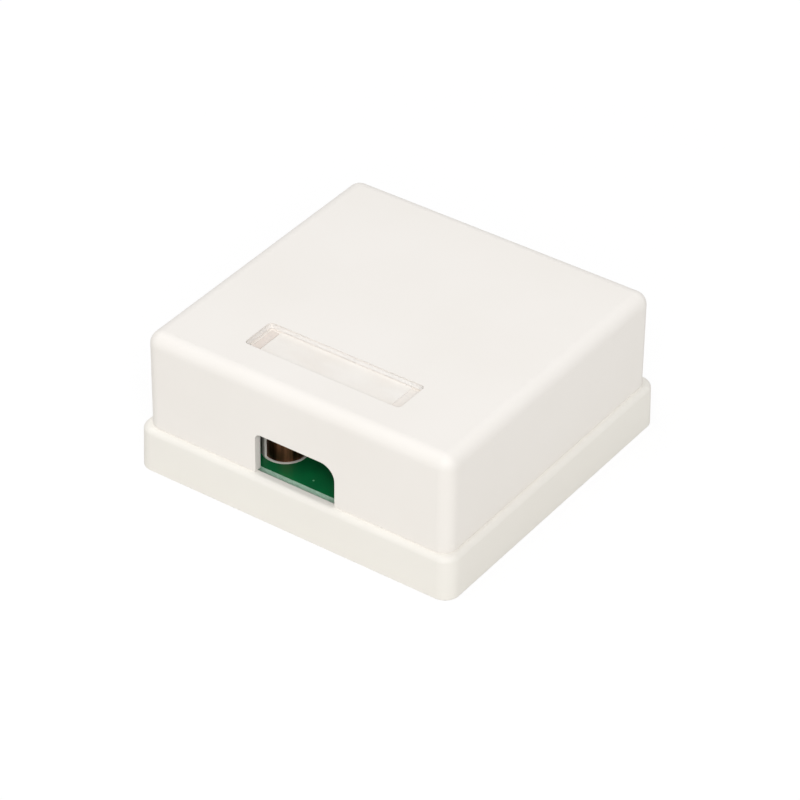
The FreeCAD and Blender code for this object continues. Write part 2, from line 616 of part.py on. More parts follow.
def makeCover():
    """Cover: a square cap with a lip that drops inside the tray, a cable opening in front, a notch for
    each socket behind, a recess for the label and ribs that hold the sockets down."""
    body = newBody("cover")
    outline = newSketch(body, "CoverOutline", out="baseHeight")
    addRectangle(outline, "coverWidth", "coverDepth")
    block = pad(body, outline, "boxHeight - baseHeight", "CoverBlock")
    height = valueOf("boxHeight - baseHeight")
    top = valueOf("boxHeight")
    edges = namesWhere(block, "Edge", lambda edge: standing(edge, height) or level(edge, top))
    fillet(body, block, edges, "coverEdge", "CoverRounding")
    hollow = newSketch(body, "CoverHollowOutline", out="baseHeight")
    addRoundedRectangle(hollow, "coverInnerWidth", "coverInnerDepth", "coverInnerCorner")
    pocket(body, hollow, "ceiling - baseHeight", "CoverHollow", reverse=True)

    lip = newSketch(body, "LipOutline", out="baseHeight")
    addRoundedRectangle(lip, "trayWidth - 2 * lipGap", "trayDepth - 2 * lipGap", "baseInnerCorner")
    addRoundedRectangle(lip, "coverInnerWidth", "coverInnerDepth", "coverInnerCorner")
    pad(body, lip, "lipDrop", "Lip", reverse=True)
    tongues = newSketch(body, "TongueOutlines", out="lipBottom")
    tongueThick = "(trayWidth / 2 - lipGap - coverInnerWidth / 2)"
    for x in (f"coverInnerWidth / 2 + {tongueThick} / 2", f"-(coverInnerWidth / 2 + {tongueThick} / 2)"):
        for y in ("tongueSpacing / 2", "-tongueSpacing / 2"):
            addRectangle(tongues, tongueThick, "tongueWidth", x, y)
    pad(body, tongues, "tongueDrop", "Tongues", reverse=True)

    ribs = newSketch(body, "HoldRibOutlines", up="jackFront - jackDepth / 2", out="ceiling")
    for jack in ("-jackPitch / 2", "jackPitch / 2"):
        for side in ("-holdRibSpread / 2", "holdRibSpread / 2"):
            addRectangle(ribs, "holdRibThick", "holdRibLength", f"({jack}) + ({side})")
    pad(body, ribs, "ceiling - (boardTop + jackHeight + holdGap)", "HoldRibs", reverse=True)

    relief = newSketch(body, "LipReliefOutline", right="entryX", up="-coverInnerDepth / 2", out="baseHeight")
    addRectangle(relief, "entryWidth + 2 * lipRelief", "2 * coverWall")
    pocket(body, relief, "lipDrop", "LipRelief")
    entryHeight = "entryTop - baseHeight + cutMargin"
    entry = newSketch(body, "CableOpeningOutline", "XZ_Plane", right="entryX", out="coverDepth / 2")
    addRectangle(entry, "entryWidth", entryHeight, "0", f"entryTop - ({entryHeight}) / 2")
    cut = pocket(body, entry, "coverWall + boardGap / 2", "CableOpening")
    openingCorners = (("-", "entryTight", "TightCorner"), ("+", "entryRadius", "WideCorner"))
    for side, radius, name in openingCorners:
        across = valueOf(f"entryX {side} entryWidth / 2")

        def onCorner(edge):
            box = edge.BoundBox
            return near(box.XMin, across) and near(box.XMax, across) and level(edge, valueOf("entryTop"))

        cut = fillet(body, cut, namesWhere(cut, "Edge", onCorner), radius, name)

    portTop = "boardTop + jackHeight + portGap"
    ports = newSketch(body, "PortOutlines", "XZ_Plane", out="boardGap / 2 - coverInnerDepth / 2")
    portHeight = f"{portTop} - lipBottom + cutMargin"
    for jack in ("-jackPitch / 2", "jackPitch / 2"):
        addRectangle(ports, "jackWidth + 2 * portGap", portHeight, jack, f"{portTop} - ({portHeight}) / 2")
    pocket(body, ports, "coverWall + boardGap", "SocketNotches")

    recess = newSketch(body, "LabelRecessOutline", up="windowY", out="boxHeight")
    addRoundedRectangle(recess, "windowWidth", "windowBreadth", "windowCorner")
    pocket(body, recess, "windowRecess", "LabelRecess")
    legs = newSketch(body, "LegSlotOutlines", up="windowY", out="recessFloor")
    for x in ("legX", "-legX"):
        addRectangle(legs, "legThick + 2 * legPassage", "legWidth + 2 * legPassage", x)
    pocket(body, legs, "coverTop - windowRecess", "LegSlots")
    return body


def makeLabelCard():
    body = newBody("label_card", "0", "windowY", "recessFloor")
    outline = newSketch(body, "CardOutline")
    addRectangle(outline, "windowWidth - 2 * cardMargin", "windowBreadth - 2 * cardGap")
    pad(body, outline, "cardThick", "Card")
    return body


def makeLabelWindow():
    """Clear strip over the card, with a foot and a leg at each end."""
    body = newBody("label_window", "0", "windowY", "lensBottom")
    outline = newSketch(body, "LensOutline")
    lensWidth, lensBreadth = "windowWidth - 2 * windowGap", "windowBreadth - 2 * windowGap"
    addRoundedRectangle(outline, lensWidth, lensBreadth, "windowCorner - windowGap")
    pad(body, outline, "lensTop - lensBottom", "Lens")
    feet = newSketch(body, "FootOutlines")
    footLength = "cardMargin - windowGap - windowCorner"
    for side in ("", "-"):
        x = f"{side}(windowWidth / 2 - windowCorner - ({footLength}) / 2)"
        addRectangle(feet, footLength, "windowBreadth - 2 * windowCorner", x)
    pad(body, feet, "lensBottom - recessFloor", "Feet", reverse=True)
    legs = newSketch(body, "LegOutlines")
    for x in ("legX", "-legX"):
        addRectangle(legs, "legThick", "legWidth", x)
    pad(body, legs, "lensBottom - ceiling + legBelow", "Legs", reverse=True)
    return body


def makeCircuitBoard():
    """Board with rounded corners, a notch over each wall-fixing slot, and a hole for everything that
    passes through it."""
    body = newBody("circuit_board", z="boardSeat")
    outline = newSketch(body, "BoardOutline")
    addRoundedRectangle(outline, "boardWidth", "boardDepth", "boardCorner")
    pad(body, outline, "boardThick", "Board")
    notches = newSketch(body, "NotchOutlines", out="boardThick")
    for side in ("", "-"):
        middle = f"{side}(boardWidth / 2 - notchReach / 2)"
        addRectangle(notches, "notchReach + 2 * cutMargin", "notchBreadth", middle)
    pocket(body, notches, "boardThick", "SideNotches")
    holes = newSketch(body, "LargeHoleOutlines", out="boardThick")
    addCircle(holes, "postRadius + holeGap", "postX", "postY")
    addOctagon(holes, "tailWidth / 2 + holeGap", "postX", "postY + tailReach - sleeveThick / 2")
    for x in ("screwX", "-screwX"):
        for y in ("screwY", "-screwY"):
            addOctagon(holes, "screwShank + screwPassage", x, y)
    for jack in ("-jackPitch / 2", "jackPitch / 2"):
        for side in ("-", "+"):
            addOctagon(holes, "pegRadius + holeGap", f"{jack} {side} pegSpacing / 2", "jackFront - pegY")
            edge = f"{jack} {side} (housingWidth + shieldThick) / 2"
            slot = ("shieldThick + 2 * holeGap", "tabWidth + 2 * holeGap")
            addRectangle(holes, *slot, edge, "jackFront - tabY")
    pocket(body, holes, "boardThick", "LargeHoles")
    for side, x in (("Left", "-jackPitch / 2"), ("Right", "jackPitch / 2")):
        for row, (start, tail) in enumerate(contactRows):
            place = {"right": f"{x} + {start}", "up": f"jackFront - {tail}", "out": "boardThick"}
            hole = newSketch(body, f"ContactHoleOutline{side}{row}", **place)
            addOctagon(hole, "wireThick * sqrt(2) / 2 + holeGap")
            drilled = pocket(body, hole, "boardThick", f"ContactHole{side}{row}")
            repeat(body, [drilled], "2 * contactSpacing", wiresInRow, f"ContactHoles{side}{row}")
        for row, y in enumerate(towerRows):
            place = {"right": f"{x} + firstSlot", "up": f"blockY + {y}", "out": "boardThick"}
            hole = newSketch(body, f"BladeHoleOutline{side}{row}", **place)
            addOctagon(hole, "sqrt(bladeTail ^ 2 + bladeThick ^ 2) / 2 + holeGap")
            drilled = pocket(body, hole, "boardThick", f"BladeHole{side}{row}")
            repeat(body, [drilled], "wireSpacing", slotsInRow, f"BladeHoles{side}{row}")
    return body


def makeBoardScrew(name, x, y):
    """Pan-head self-tapping screw with a cross recess, standing on the board."""
    body = newBody(name, x, y, "boardTop")
    profile = newSketch(body, "ScrewProfile", "XZ_Plane")
    corners = [
        ("0", "screwHeadHeight"),
        ("0", "-screwLength"),
        ("screwShank", "-screwLength"),
        ("screwShank", "0"),
        ("screwHeadRadius", "0"),
        ("screwHeadRadius", "screwHeadHeight - screwHeadBevel"),
        ("screwHeadRadius - screwHeadBevel", "screwHeadHeight"),
    ]
    addPolygon(profile, corners)
    turned = body.newObject("PartDesign::Revolution", "TurnedScrew")
    turned.Profile = profile
    turned.ReferenceAxis = (originOf(body, "Z_Axis"), [""])
    turned.Angle = 360
    doc.recompute()
    recessBars = (("recessLength", "recessWidth"), ("recessWidth", "recessLength"))
    for turn, (width, breadth) in enumerate(recessBars):
        bar = newSketch(body, f"RecessOutline{turn}", out="screwHeadHeight")
        addRectangle(bar, width, breadth)
        pocket(body, bar, "recessDepth", f"CrossRecess{turn}")
    return body


def makeJackHousing(name, x):
    """Socket moulding: plug cavity with latch groove, comb slots over the cavity for the contact wires,
    a chamber behind for the carrier, and two pegs that locate it in the board."""
    body = newBody(name, x, "jackFront", "boardTop")
    front = newSketch(body, "HousingOutline", "XZ_Plane", up="housingHeight / 2", out="shieldThick")
    addRectangle(front, "housingWidth", "housingHeight")
    pad(body, front, "housingDepth", "HousingBlock")
    cavity = newSketch(body, "PlugOutline", "XZ_Plane", out="shieldThick")
    half, groove = "plugWidth / 2", "latchWidth / 2"
    corners = [
        (f"-{half}", "plugTop"),
        (f"-{half}", "plugBottom"),
        (f"-{groove}", "plugBottom"),
        (f"-{groove}", "latchBottom"),
        (groove, "latchBottom"),
        (groove, "plugBottom"),
        (half, "plugBottom"),
        (half, "plugTop"),
    ]
    addPolygon(cavity, corners)
    cut = pocket(body, cavity, "plugDepth", "PlugCavity", reverse=True)
    face = -valueOf("shieldThick")
    mouth = valueOf("plugWidth") / 2 + tolerance

    def onMouth(edge):
        box = edge.BoundBox
        return near(box.YMin, face) and near(box.YMax, face) and max(-box.XMin, box.XMax) < mouth

    chamfer(body, cut, namesWhere(cut, "Edge", onMouth), "mouthChamfer", "MouthBevel")

    channelHeight = "channelTop - channelBottom"
    place = {"up": f"channelBottom + ({channelHeight}) / 2", "out": "shieldThick + channelStart"}
    channel = newSketch(body, "ChannelOutline", "XZ_Plane", **place)
    addRectangle(channel, "channelWidth", channelHeight)
    pocket(body, channel, "housingDepth", "WireChannel", reverse=True)
    combMiddle = "-(shieldThick + channelStart + combLength / 2)"
    comb = newSketch(body, "CombOutline", right="firstWire", up=combMiddle, out="channelBottom")
    addRectangle(comb, "combWidth", "combLength")
    slot = pocket(body, comb, "channelBottom - plugTop", "CombSlot")
    repeat(body, [slot], "contactSpacing", wiresInSocket, "CombSlots")
    chamber = newSketch(body, "ChamberOutline", up="-(shieldThick + housingDepth - chamberLength / 2)")
    addRectangle(chamber, "chamberWidth", "chamberLength")
    pocket(body, chamber, "channelTop", "CarrierChamber", reverse=True)
    pegs = newSketch(body, "PegOutlines", up="-pegY")
    for x in ("pegSpacing / 2", "-pegSpacing / 2"):
        addOctagon(pegs, "pegRadius", x)
    pad(body, pegs, "pegLength", "Pegs", reverse=True)
    for label, side, reverse in (("Left", "-", True), ("Right", "", False)):
        nubs = newSketch(body, f"NubOutlines{label}", "YZ_Plane", out=f"{side}housingWidth / 2")
        for y in nubPlaces:
            addRectangle(nubs, "nubLength", "nubHeight", y, "nubZ")
        pad(body, nubs, "shieldThick", f"Nubs{label}", reverse)
    return body


def makeJackCarrier(name, x):
    """Moulded insert in the back of the socket, with a hole for each contact wire."""
    body = newBody(name, x, "jackFront", "boardTop")
    back = "shieldThick + housingDepth"
    outline = newSketch(body, "CarrierOutline", up=f"-({back} - chamberLength / 2)", out="carrierGap")
    addRectangle(outline, "chamberWidth - 2 * carrierGap", "chamberLength - 2 * carrierGap")
    pad(body, outline, "carrierTop - carrierGap", "CarrierBlock")
    for row, (start, tail) in enumerate(contactRows):
        place = {"right": start, "up": f"-{tail}", "out": "carrierTop"}
        hole = newSketch(body, f"WireHoleOutline{row}", **place)
        addRectangle(hole, "wirePassage", "wirePassage")
        cut = pocket(body, hole, "carrierTop", f"WireHole{row}")
        repeat(body, [cut], "2 * contactSpacing", wiresInRow, f"WireHoles{row}")
    return body


def makeJackContacts(name, x):
    """Eight contact wires: up through the carrier, forward over the plug cavity, and back down into it
    as springs. Neighbours start from alternate rows of holes in the board."""
    body = newBody(name, x, "jackFront", "boardTop")
    for row, (start, tail) in enumerate(contactRows):
        spine = newSketch(body, f"WirePath{row}", "YZ_Plane", out=start)
        addWirePath(spine, tail)
        section = newSketch(body, f"WireSection{row}", right=start, up=f"-{tail}", out="-wireTail")
        addRectangle(section, "wireThick", "wireThick")
        doc.recompute()
        wire = body.newObject("PartDesign::AdditivePipe", f"Wire{row}")
        wire.Profile = section
        wire.Spine = (spine, [])
        wire.Transition = "Right corner"
        doc.recompute()
        repeat(body, [wire], "2 * contactSpacing", wiresInRow, f"Wires{row}")
    return body


def makeJackShield(name, x):
    """Folded can over the socket: top, sides, back and a frame round the plug cavity, with two tabs
    soldered in the board."""
    body = newBody(name, x, "jackFront", "boardTop")
    outline = newSketch(body, "ShieldOutline", up="-jackDepth / 2", out="shieldLift")
    addRectangle(outline, "jackWidth", "jackDepth")
    pad(body, outline, "jackHeight - shieldLift", "ShieldBlock")
    inside = newSketch(body, "ShieldInsideOutline", up="-jackDepth / 2", out="shieldLift")
    addRectangle(inside, "housingWidth", "housingDepth")
    pocket(body, inside, "housingHeight - shieldLift", "ShieldInside", reverse=True)
    opening = newSketch(body, "ShieldOpeningOutline", "XZ_Plane")
    half, groove = "(plugWidth / 2 + mouthChamfer + frameGap)", "(latchWidth / 2 + mouthChamfer + frameGap)"
    top, step, bottom = (
        "plugTop + mouthChamfer + frameGap",
        "plugBottom - mouthChamfer - frameGap",
        "latchBottom - mouthChamfer - frameGap",
    )
    corners = [
        (f"-{half}", top),
        (f"-{half}", step),
        (f"-{groove}", step),
        (f"-{groove}", bottom),
        (groove, bottom),
        (groove, step),
        (half, step),
        (half, top),
    ]
    addPolygon(opening, corners)
    pocket(body, opening, "shieldThick", "ShieldOpening", reverse=True)
    windows = newSketch(body, "ShieldWindowOutlines", "YZ_Plane", out="jackWidth / 2")
    for y in nubPlaces:
        addRectangle(windows, "nubLength + 2 * nubGap", "nubHeight + 2 * nubGap", y, "nubZ")
    pocket(body, windows, "jackWidth", "ShieldWindows")
    fingers = newSketch(body, "FingerSlotOutlines", up="-fingerRoot", out="jackHeight")
    for middle in ("-fingerSpacing / 2", "fingerSpacing / 2"):
        inner, outer = "fingerWidth / 2", "(fingerWidth / 2 + fingerSlot)"
        corners = [
            (f"{middle} - {outer}", "0"),
            (f"{middle} - {inner}", "0"),
            (f"{middle} - {inner}", "fingerLength"),
            (f"{middle} + {inner}", "fingerLength"),
            (f"{middle} + {inner}", "0"),
            (f"{middle} + {outer}", "0"),
            (f"{middle} + {outer}", "fingerLength + fingerSlot"),
            (f"{middle} - {outer}", "fingerLength + fingerSlot"),
        ]
        addPolygon(fingers, corners)
    pocket(body, fingers, "shieldThick", "FingerSlots")
    tabs = newSketch(body, "TabOutlines", up="-tabY", out="shieldLift")
    for side in ("", "-"):
        addRectangle(tabs, "shieldThick", "tabWidth", f"{side}(housingWidth + shieldThick) / 2")
    pad(body, tabs, "tabLength + shieldLift", "Tabs", reverse=True)
    return body


def makeIdcBlock(name, x):
    """Punch-down block: a foot and two rows of pointed towers with a wire slot between neighbours, and a
    passage across each slot for its blade."""
    body = newBody(name, x, "blockY", "boardTop")
    foot = newSketch(body, "FootOutline")
    addRectangle(foot, "blockWidth", "blockBreadth")
    pad(body, foot, "blockFoot", "BlockFoot")
    ridge = newSketch(body, "RidgeProfile", "YZ_Plane", out="0")
    for side in ("-", ""):
        middle = f"{side}rowSpacing / 2"
        corners = [
            (f"{middle} - towerBreadth / 2", "blockFoot"),
            (f"{middle} + towerBreadth / 2", "blockFoot"),
            (f"{middle} + towerBreadth / 2", "towerShoulder"),
            (f"{middle} + towerTip / 2", "blockHeight"),
            (f"{middle} - towerTip / 2", "blockHeight"),
            (f"{middle} - towerBreadth / 2", "towerShoulder"),
        ]
        addPolygon(ridge, corners)
    pad(body, ridge, "blockWidth", "Ridges", middle=True)
    front = "blockBreadth / 2"
    slot = newSketch(body, "WireSlotOutline", "XZ_Plane", right="firstSlot", out=front)
    corners = [
        ("-wireSlotWidth / 2", "wireSlotFloor"),
        ("wireSlotWidth / 2", "wireSlotFloor"),
        ("wireSlotWidth / 2", "blockHeight - mouthDepth"),
        ("mouthWidth / 2", "blockHeight"),
        ("-mouthWidth / 2", "blockHeight"),
        ("-wireSlotWidth / 2", "blockHeight - mouthDepth"),
    ]
    addPolygon(slot, corners)
    wireSlot = pocket(body, slot, "blockBreadth", "WireSlot")
    repeat(body, [wireSlot], "wireSpacing", slotsInRow, "WireSlots")
    for row, y in enumerate(towerRows):
        place = {"right": "firstSlot", "up": y, "out": "blockHeight", "turn": (Vector(0, 0, 1), "bladeAngle")}
        outline = newSketch(body, f"BladeSeatOutline{row}", **place)
        addRectangle(outline, "bladeWidth + 2 * bladeGap", "bladeThick + 2 * bladeGap")
        seat = pocket(body, outline, "blockHeight", f"BladeSeat{row}")
        repeat(body, [seat], "wireSpacing", slotsInRow, f"BladeSeats{row}")
    return body


def makeIdcContacts(name, x):
    """Eight forked blades, each standing across its wire slot with a tail through the board."""
    body = newBody(name, x, "blockY", "boardTop")
    tine, slit, mouth, tail = "bladeWidth / 2", "bladeSlit / 2", "bladeMouth / 2", "bladeTail / 2"
    rightHalf = [
        (tail, "-bladeTailLength"),
        (tail, "bladeBottom"),
        (tine, "bladeBottom"),
        (tine, "bladeTop"),
        (mouth, "bladeTop"),
        (slit, "bladeTop - bladeMouthDepth"),
        (slit, "bladeSlitFloor"),
    ]
    leftHalf = [(f"-{across}", up) for across, up in reversed(rightHalf)]
    for row, y in enumerate(towerRows):
        place = {"right": "firstSlot", "out": y, "turn": (Vector(0, 1, 0), "bladeAngle")}
        blade = newSketch(body, f"BladeOutline{row}", "XZ_Plane", **place)
        addPolygon(blade, rightHalf + leftHalf)
        fork = pad(body, blade, "bladeThick", f"Blade{row}", middle=True)
        repeat(body, [fork], "wireSpacing", slotsInRow, f"Blades{row}")
    return body


pieces = [
    makeBaseTray(),
    makeShieldSleeve(),
    makeCover(),
    makeLabelCard(),
    makeLabelWindow(),
    makeCircuitBoard(),
]
for front, y in (("front", "-screwY"), ("rear", "screwY")):
    for side, x in (("left", "-screwX"), ("right", "screwX")):
        pieces.append(makeBoardScrew(f"board_screw_{front}_{side}", x, y))
for side, x in (("left", "-jackPitch / 2"), ("right", "jackPitch / 2")):
    pieces.append(makeJackHousing(f"jack_housing_{side}", x))
    pieces.append(makeJackCarrier(f"jack_carrier_{side}", x))
    pieces.append(makeJackContacts(f"jack_contacts_{side}", x))
    pieces.append(makeJackShield(f"jack_shield_{side}", x))
    pieces.append(makeIdcBlock(f"idc_block_{side}", x))
    pieces.append(makeIdcContacts(f"idc_contacts_{side}", x))

doc.recompute()
failed = [item.Label for item in doc.Objects if {"Invalid", "Error"} & set(item.State)]
for piece in pieces:
    if piece.Shape.isNull() or not piece.Shape.isValid():
        failed.append(piece.Label)
if failed:
    raise RuntimeError("these did not build: " + ", ".join(failed))
os.makedirs("parts", exist_ok=True)
for piece in pieces:
    piece.Shape.exportStep(f"parts/{piece.Label}.step")
    print(f"{piece.Label}: {len(piece.Shape.Solids)} solid(s), {piece.Shape.Volume:.1f} mm3")
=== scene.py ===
import math

import bmesh
import bpy
from mathutils import Matrix, Vector


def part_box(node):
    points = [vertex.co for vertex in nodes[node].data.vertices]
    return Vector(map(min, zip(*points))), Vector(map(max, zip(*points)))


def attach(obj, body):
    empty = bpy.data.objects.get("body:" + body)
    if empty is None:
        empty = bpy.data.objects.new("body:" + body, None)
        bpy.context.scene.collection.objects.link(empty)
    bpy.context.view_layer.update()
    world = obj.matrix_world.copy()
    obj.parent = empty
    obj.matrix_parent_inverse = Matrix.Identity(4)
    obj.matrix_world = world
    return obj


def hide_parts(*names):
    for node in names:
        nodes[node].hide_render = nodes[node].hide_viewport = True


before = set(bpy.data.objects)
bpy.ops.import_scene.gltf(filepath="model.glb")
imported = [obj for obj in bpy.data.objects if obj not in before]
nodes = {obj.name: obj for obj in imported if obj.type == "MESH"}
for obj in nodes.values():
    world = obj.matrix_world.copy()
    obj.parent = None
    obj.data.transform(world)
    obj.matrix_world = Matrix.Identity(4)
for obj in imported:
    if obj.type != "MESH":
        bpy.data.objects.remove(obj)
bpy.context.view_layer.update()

mm = 0.001
sides = {"left": -1, "right": 1}


def linear(hexColour):
    # sRGB hex to the linear RGBA that the shaders read
    channels = [int(hexColour[i:i + 2], 16) / 255 for i in (1, 3, 5)]
    return tuple(c / 12.92 if c <= 0.04045 else ((c + 0.055) / 1.055) ** 2.4 for c in channels) + (1.0,)


def addNode(tree, kind, inputs=None, **settings):
    # one node with its settings; an input is a value, or a socket to link from
    # (a Mix has its factor at 0 and colours at 6 and 7; a Map Range its value at 0, from 1 to 2, to 3 to 4)
    node = tree.nodes.new(kind)
    for name, value in settings.items():
        setattr(node, name, value)
    for name, value in (inputs or {}).items():
        if isinstance(value, bpy.types.NodeSocket):
            tree.links.new(value, node.inputs[name])
        else:
            node.inputs[name].default_value = value
    return node


def emptyMaterial(name):
    # a bare material; returns it with its tree and Object coordinates
    material = bpy.data.materials.new(name)
    material.use_nodes = True
    tree = material.node_tree
    tree.nodes.clear()
    return material, tree, addNode(tree, "ShaderNodeTexCoord").outputs["Object"]


def startMaterial(name, **values):
    # a material with its shader's own sockets set; returns it with its tree, shader and Object coordinates
    material, tree, where = emptyMaterial(name)
    shader = addNode(tree, "ShaderNodeBsdfPrincipled", values)
    addNode(tree, "ShaderNodeOutputMaterial", {"Surface": shader.outputs[0]})
    return material, tree, shader, where


absLook = {
    "cover": "#f0ece7",
    "tray": "#eeebe4",
    "shade": "#e9e4dd",
    "sparkGrain": 0.28 * mm,  # spark-eroded grain is about 0.05 mm; drawn coarser so that it shows
    "sparkDepth": 0.004 * mm,
    "roughness": (0.5, 0.62),
    "flow": 24 * mm,
    "drift": 0.35,  # the most of the shade that the flow brings
    "edge": 0.12 * mm,  # mould edges are never sharp
}


def mouldedAbs(name, colour):
    # white ABS from a fine spark-eroded tool: soft broad sheen, faint grain, tone drifts with the flow
    material, tree, shader, where = startMaterial(name, IOR=1.54)
    flow = {"Vector": where, "Scale": 1 / absLook["flow"], "Detail": 3.0}
    flow = addNode(tree, "ShaderNodeTexNoise", flow).outputs[0]
    drift = {0: flow, 1: 0.35, 2: 0.75, 3: 0.0, 4: absLook["drift"]}
    drift = addNode(tree, "ShaderNodeMapRange", drift).outputs[0]
    tone = {0: drift, 6: linear(colour), 7: linear(absLook["shade"])}
    tone = addNode(tree, "ShaderNodeMix", tone, data_type="RGBA")
    tree.links.new(tone.outputs[2], shader.inputs["Base Color"])
    grain = {"Vector": where, "Scale": 1 / absLook["sparkGrain"], "Detail": 3.0, "Roughness": 0.6}
    grain = addNode(tree, "ShaderNodeTexNoise", grain).outputs[0]
    smooth, rough = absLook["roughness"]
    sheen = addNode(tree, "ShaderNodeMapRange", {0: grain, 3: smooth, 4: rough})
    tree.links.new(sheen.outputs[0], shader.inputs["Roughness"])
    softened = addNode(tree, "ShaderNodeBevel", {"Radius": absLook["edge"]}, samples=4)
    bump = {"Height": grain, "Distance": absLook["sparkDepth"], "Normal": softened.outputs[0]}
    tree.links.new(addNode(tree, "ShaderNodeBump", bump).outputs[0], shader.inputs["Normal"])
    return material


clearLook = {
    "ripple": 3 * mm,
    "rippleDepth": 0.006 * mm,
    "polish": 0.04,
    "headOn": 0.05,  # share mirrored when seen straight on
    "gather": 5.0,  # power at which the gloss gathers towards a glancing view
    "tint": ("#ffffff", "#fbf9f7"),
}


def clearPolycarbonate():
    # polished clear polycarbonate: nearly all light passes, a glancing view finds the gloss,
    # and the melt's flow leaves a ripple
    material, tree, where = emptyMaterial("clearPolycarbonate")
    along = addNode(tree, "ShaderNodeMapping", {"Vector": where, "Scale": (0.4, 1.0, 1.0)}).outputs[0]
    ripple = {"Vector": along, "Scale": 1 / clearLook["ripple"], "Detail": 1.0}
    ripple = addNode(tree, "ShaderNodeTexNoise", ripple).outputs[0]
    bent = {"Height": ripple, "Distance": clearLook["rippleDepth"]}
    bent = addNode(tree, "ShaderNodeBump", bent).outputs[0]
    slant = addNode(tree, "ShaderNodeLayerWeight", {"Blend": 0.5, "Normal": bent}).outputs["Facing"]
    slant = addNode(tree, "ShaderNodeMath", {0: slant, 1: clearLook["gather"]}, operation="POWER")
    mirrored = {0: slant.outputs[0], 3: clearLook["headOn"], 4: 1.0}
    mirrored = addNode(tree, "ShaderNodeMapRange", mirrored).outputs[0]
    pale, deep = clearLook["tint"]
    tone = {0: ripple, 6: linear(pale), 7: linear(deep)}
    tone = addNode(tree, "ShaderNodeMix", tone, data_type="RGBA").outputs[2]
    passed = addNode(tree, "ShaderNodeBsdfTransparent", {"Color": tone}).outputs[0]
    gloss = {"Color": linear("#ffffff"), "Roughness": clearLook["polish"], "Normal": bent}
    gloss = addNode(tree, "ShaderNodeBsdfGlossy", gloss).outputs[0]
    clear = addNode(tree, "ShaderNodeMixShader", {0: mirrored, 1: passed, 2: gloss}).outputs[0]
    addNode(tree, "ShaderNodeOutputMaterial", {"Surface": clear})
    return material


milkyLook = {
    "cloud": 0.9 * mm,
    "endX": 16 * mm,  # from the middle, where the painted shade's drift is complete
    "drift": 0.35,  # how much deeper in tone the left end is painted, as shade, and how much paler the right end
    "milkiness": (0.7, 0.9),
}


def milkyPolycarbonate(name, pale, deep):
    # the same polycarbonate where the tool was left eroded, on its sides, feet and legs: pale and milky,
    # its tone painted deeper towards the left end as shade
    material, tree, where = emptyMaterial(name)
    cloud = {"Vector": where, "Scale": 1 / milkyLook["cloud"], "Detail": 3.0, "Roughness": 0.6}
    cloud = addNode(tree, "ShaderNodeTexNoise", cloud).outputs[0]
    # painted shade: the tone is made deeper towards the left end (-X) and paler towards the right
    paintedShadeAcrossX = addNode(tree, "ShaderNodeSeparateXYZ", {0: where}).outputs["X"]
    end, drift = milkyLook["endX"], milkyLook["drift"]
    flow = {0: paintedShadeAcrossX, 1: -end, 2: end, 3: drift, 4: -drift}
    flow = addNode(tree, "ShaderNodeMapRange", flow).outputs[0]
    depth = addNode(tree, "ShaderNodeMath", {0: cloud, 1: flow}, operation="ADD").outputs[0]
    tone = {0: depth, 6: linear(pale), 7: linear(deep)}
    tone = addNode(tree, "ShaderNodeMix", tone, data_type="RGBA").outputs[2]
    milky = addNode(tree, "ShaderNodeBsdfDiffuse", {"Color": tone}).outputs[0]
    passed = addNode(tree, "ShaderNodeBsdfTransparent", {"Color": linear("#ffffff")}).outputs[0]
    least, most = milkyLook["milkiness"]
    share = addNode(tree, "ShaderNodeMapRange", {0: cloud, 1: 0.3, 2: 0.7, 3: least, 4: most}).outputs[0]
    mixed = addNode(tree, "ShaderNodeMixShader", {0: share, 1: passed, 2: milky}).outputs[0]
    addNode(tree, "ShaderNodeOutputMaterial", {"Surface": mixed})
    return material


cardLook = {
    "tones": ("#f7f5f2", "#efede9"),
    "roughness": 0.92,
    "fibre": 0.35 * mm,
    "relief": 0.01 * mm,
}


def uncoatedCard():
    # white uncoated paper: matt, with fibres about 0.3 mm apart
    material, tree, shader, where = startMaterial("uncoatedCard", Roughness=cardLook["roughness"], IOR=1.5)
    along = addNode(tree, "ShaderNodeMapping", {"Vector": where, "Scale": (1.0, 3.0, 1.0)}).outputs[0]
    fibres = {"Vector": along, "Scale": 1 / cardLook["fibre"], "Detail": 4.0, "Roughness": 0.7}
    fibres = addNode(tree, "ShaderNodeTexNoise", fibres).outputs[0]
    pale, deep = cardLook["tones"]
    tone = addNode(tree, "ShaderNodeMix", {0: fibres, 6: linear(pale), 7: linear(deep)}, data_type="RGBA")
    tree.links.new(tone.outputs[2], shader.inputs["Base Color"])
    bump = addNode(tree, "ShaderNodeBump", {"Height": fibres, "Distance": cardLook["relief"]})
    tree.links.new(bump.outputs[0], shader.inputs["Normal"])
    return material


boardLook = {
    "mask": "#087a43",
    "maskDeep": "#056137",
    "maskRoughness": 0.4,
    "laminate": "#d6f6e2",
    "laminateDark": "#9cc6ac",
    "laminateRoughness": 0.75,
    "cloud": 6 * mm,
    "weave": 0.55 * mm,  # thread spacing of the glass cloth under the mask
    "relief": 0.006 * mm,
    "ply": 0.2 * mm,  # one layer of cloth, seen on the cut edge
    "plyContrast": 0.12,
    "fray": 0.7 * mm,
    "copperCloud": 2 * mm,
    "copperRoughness": (0.22, 0.34),
}


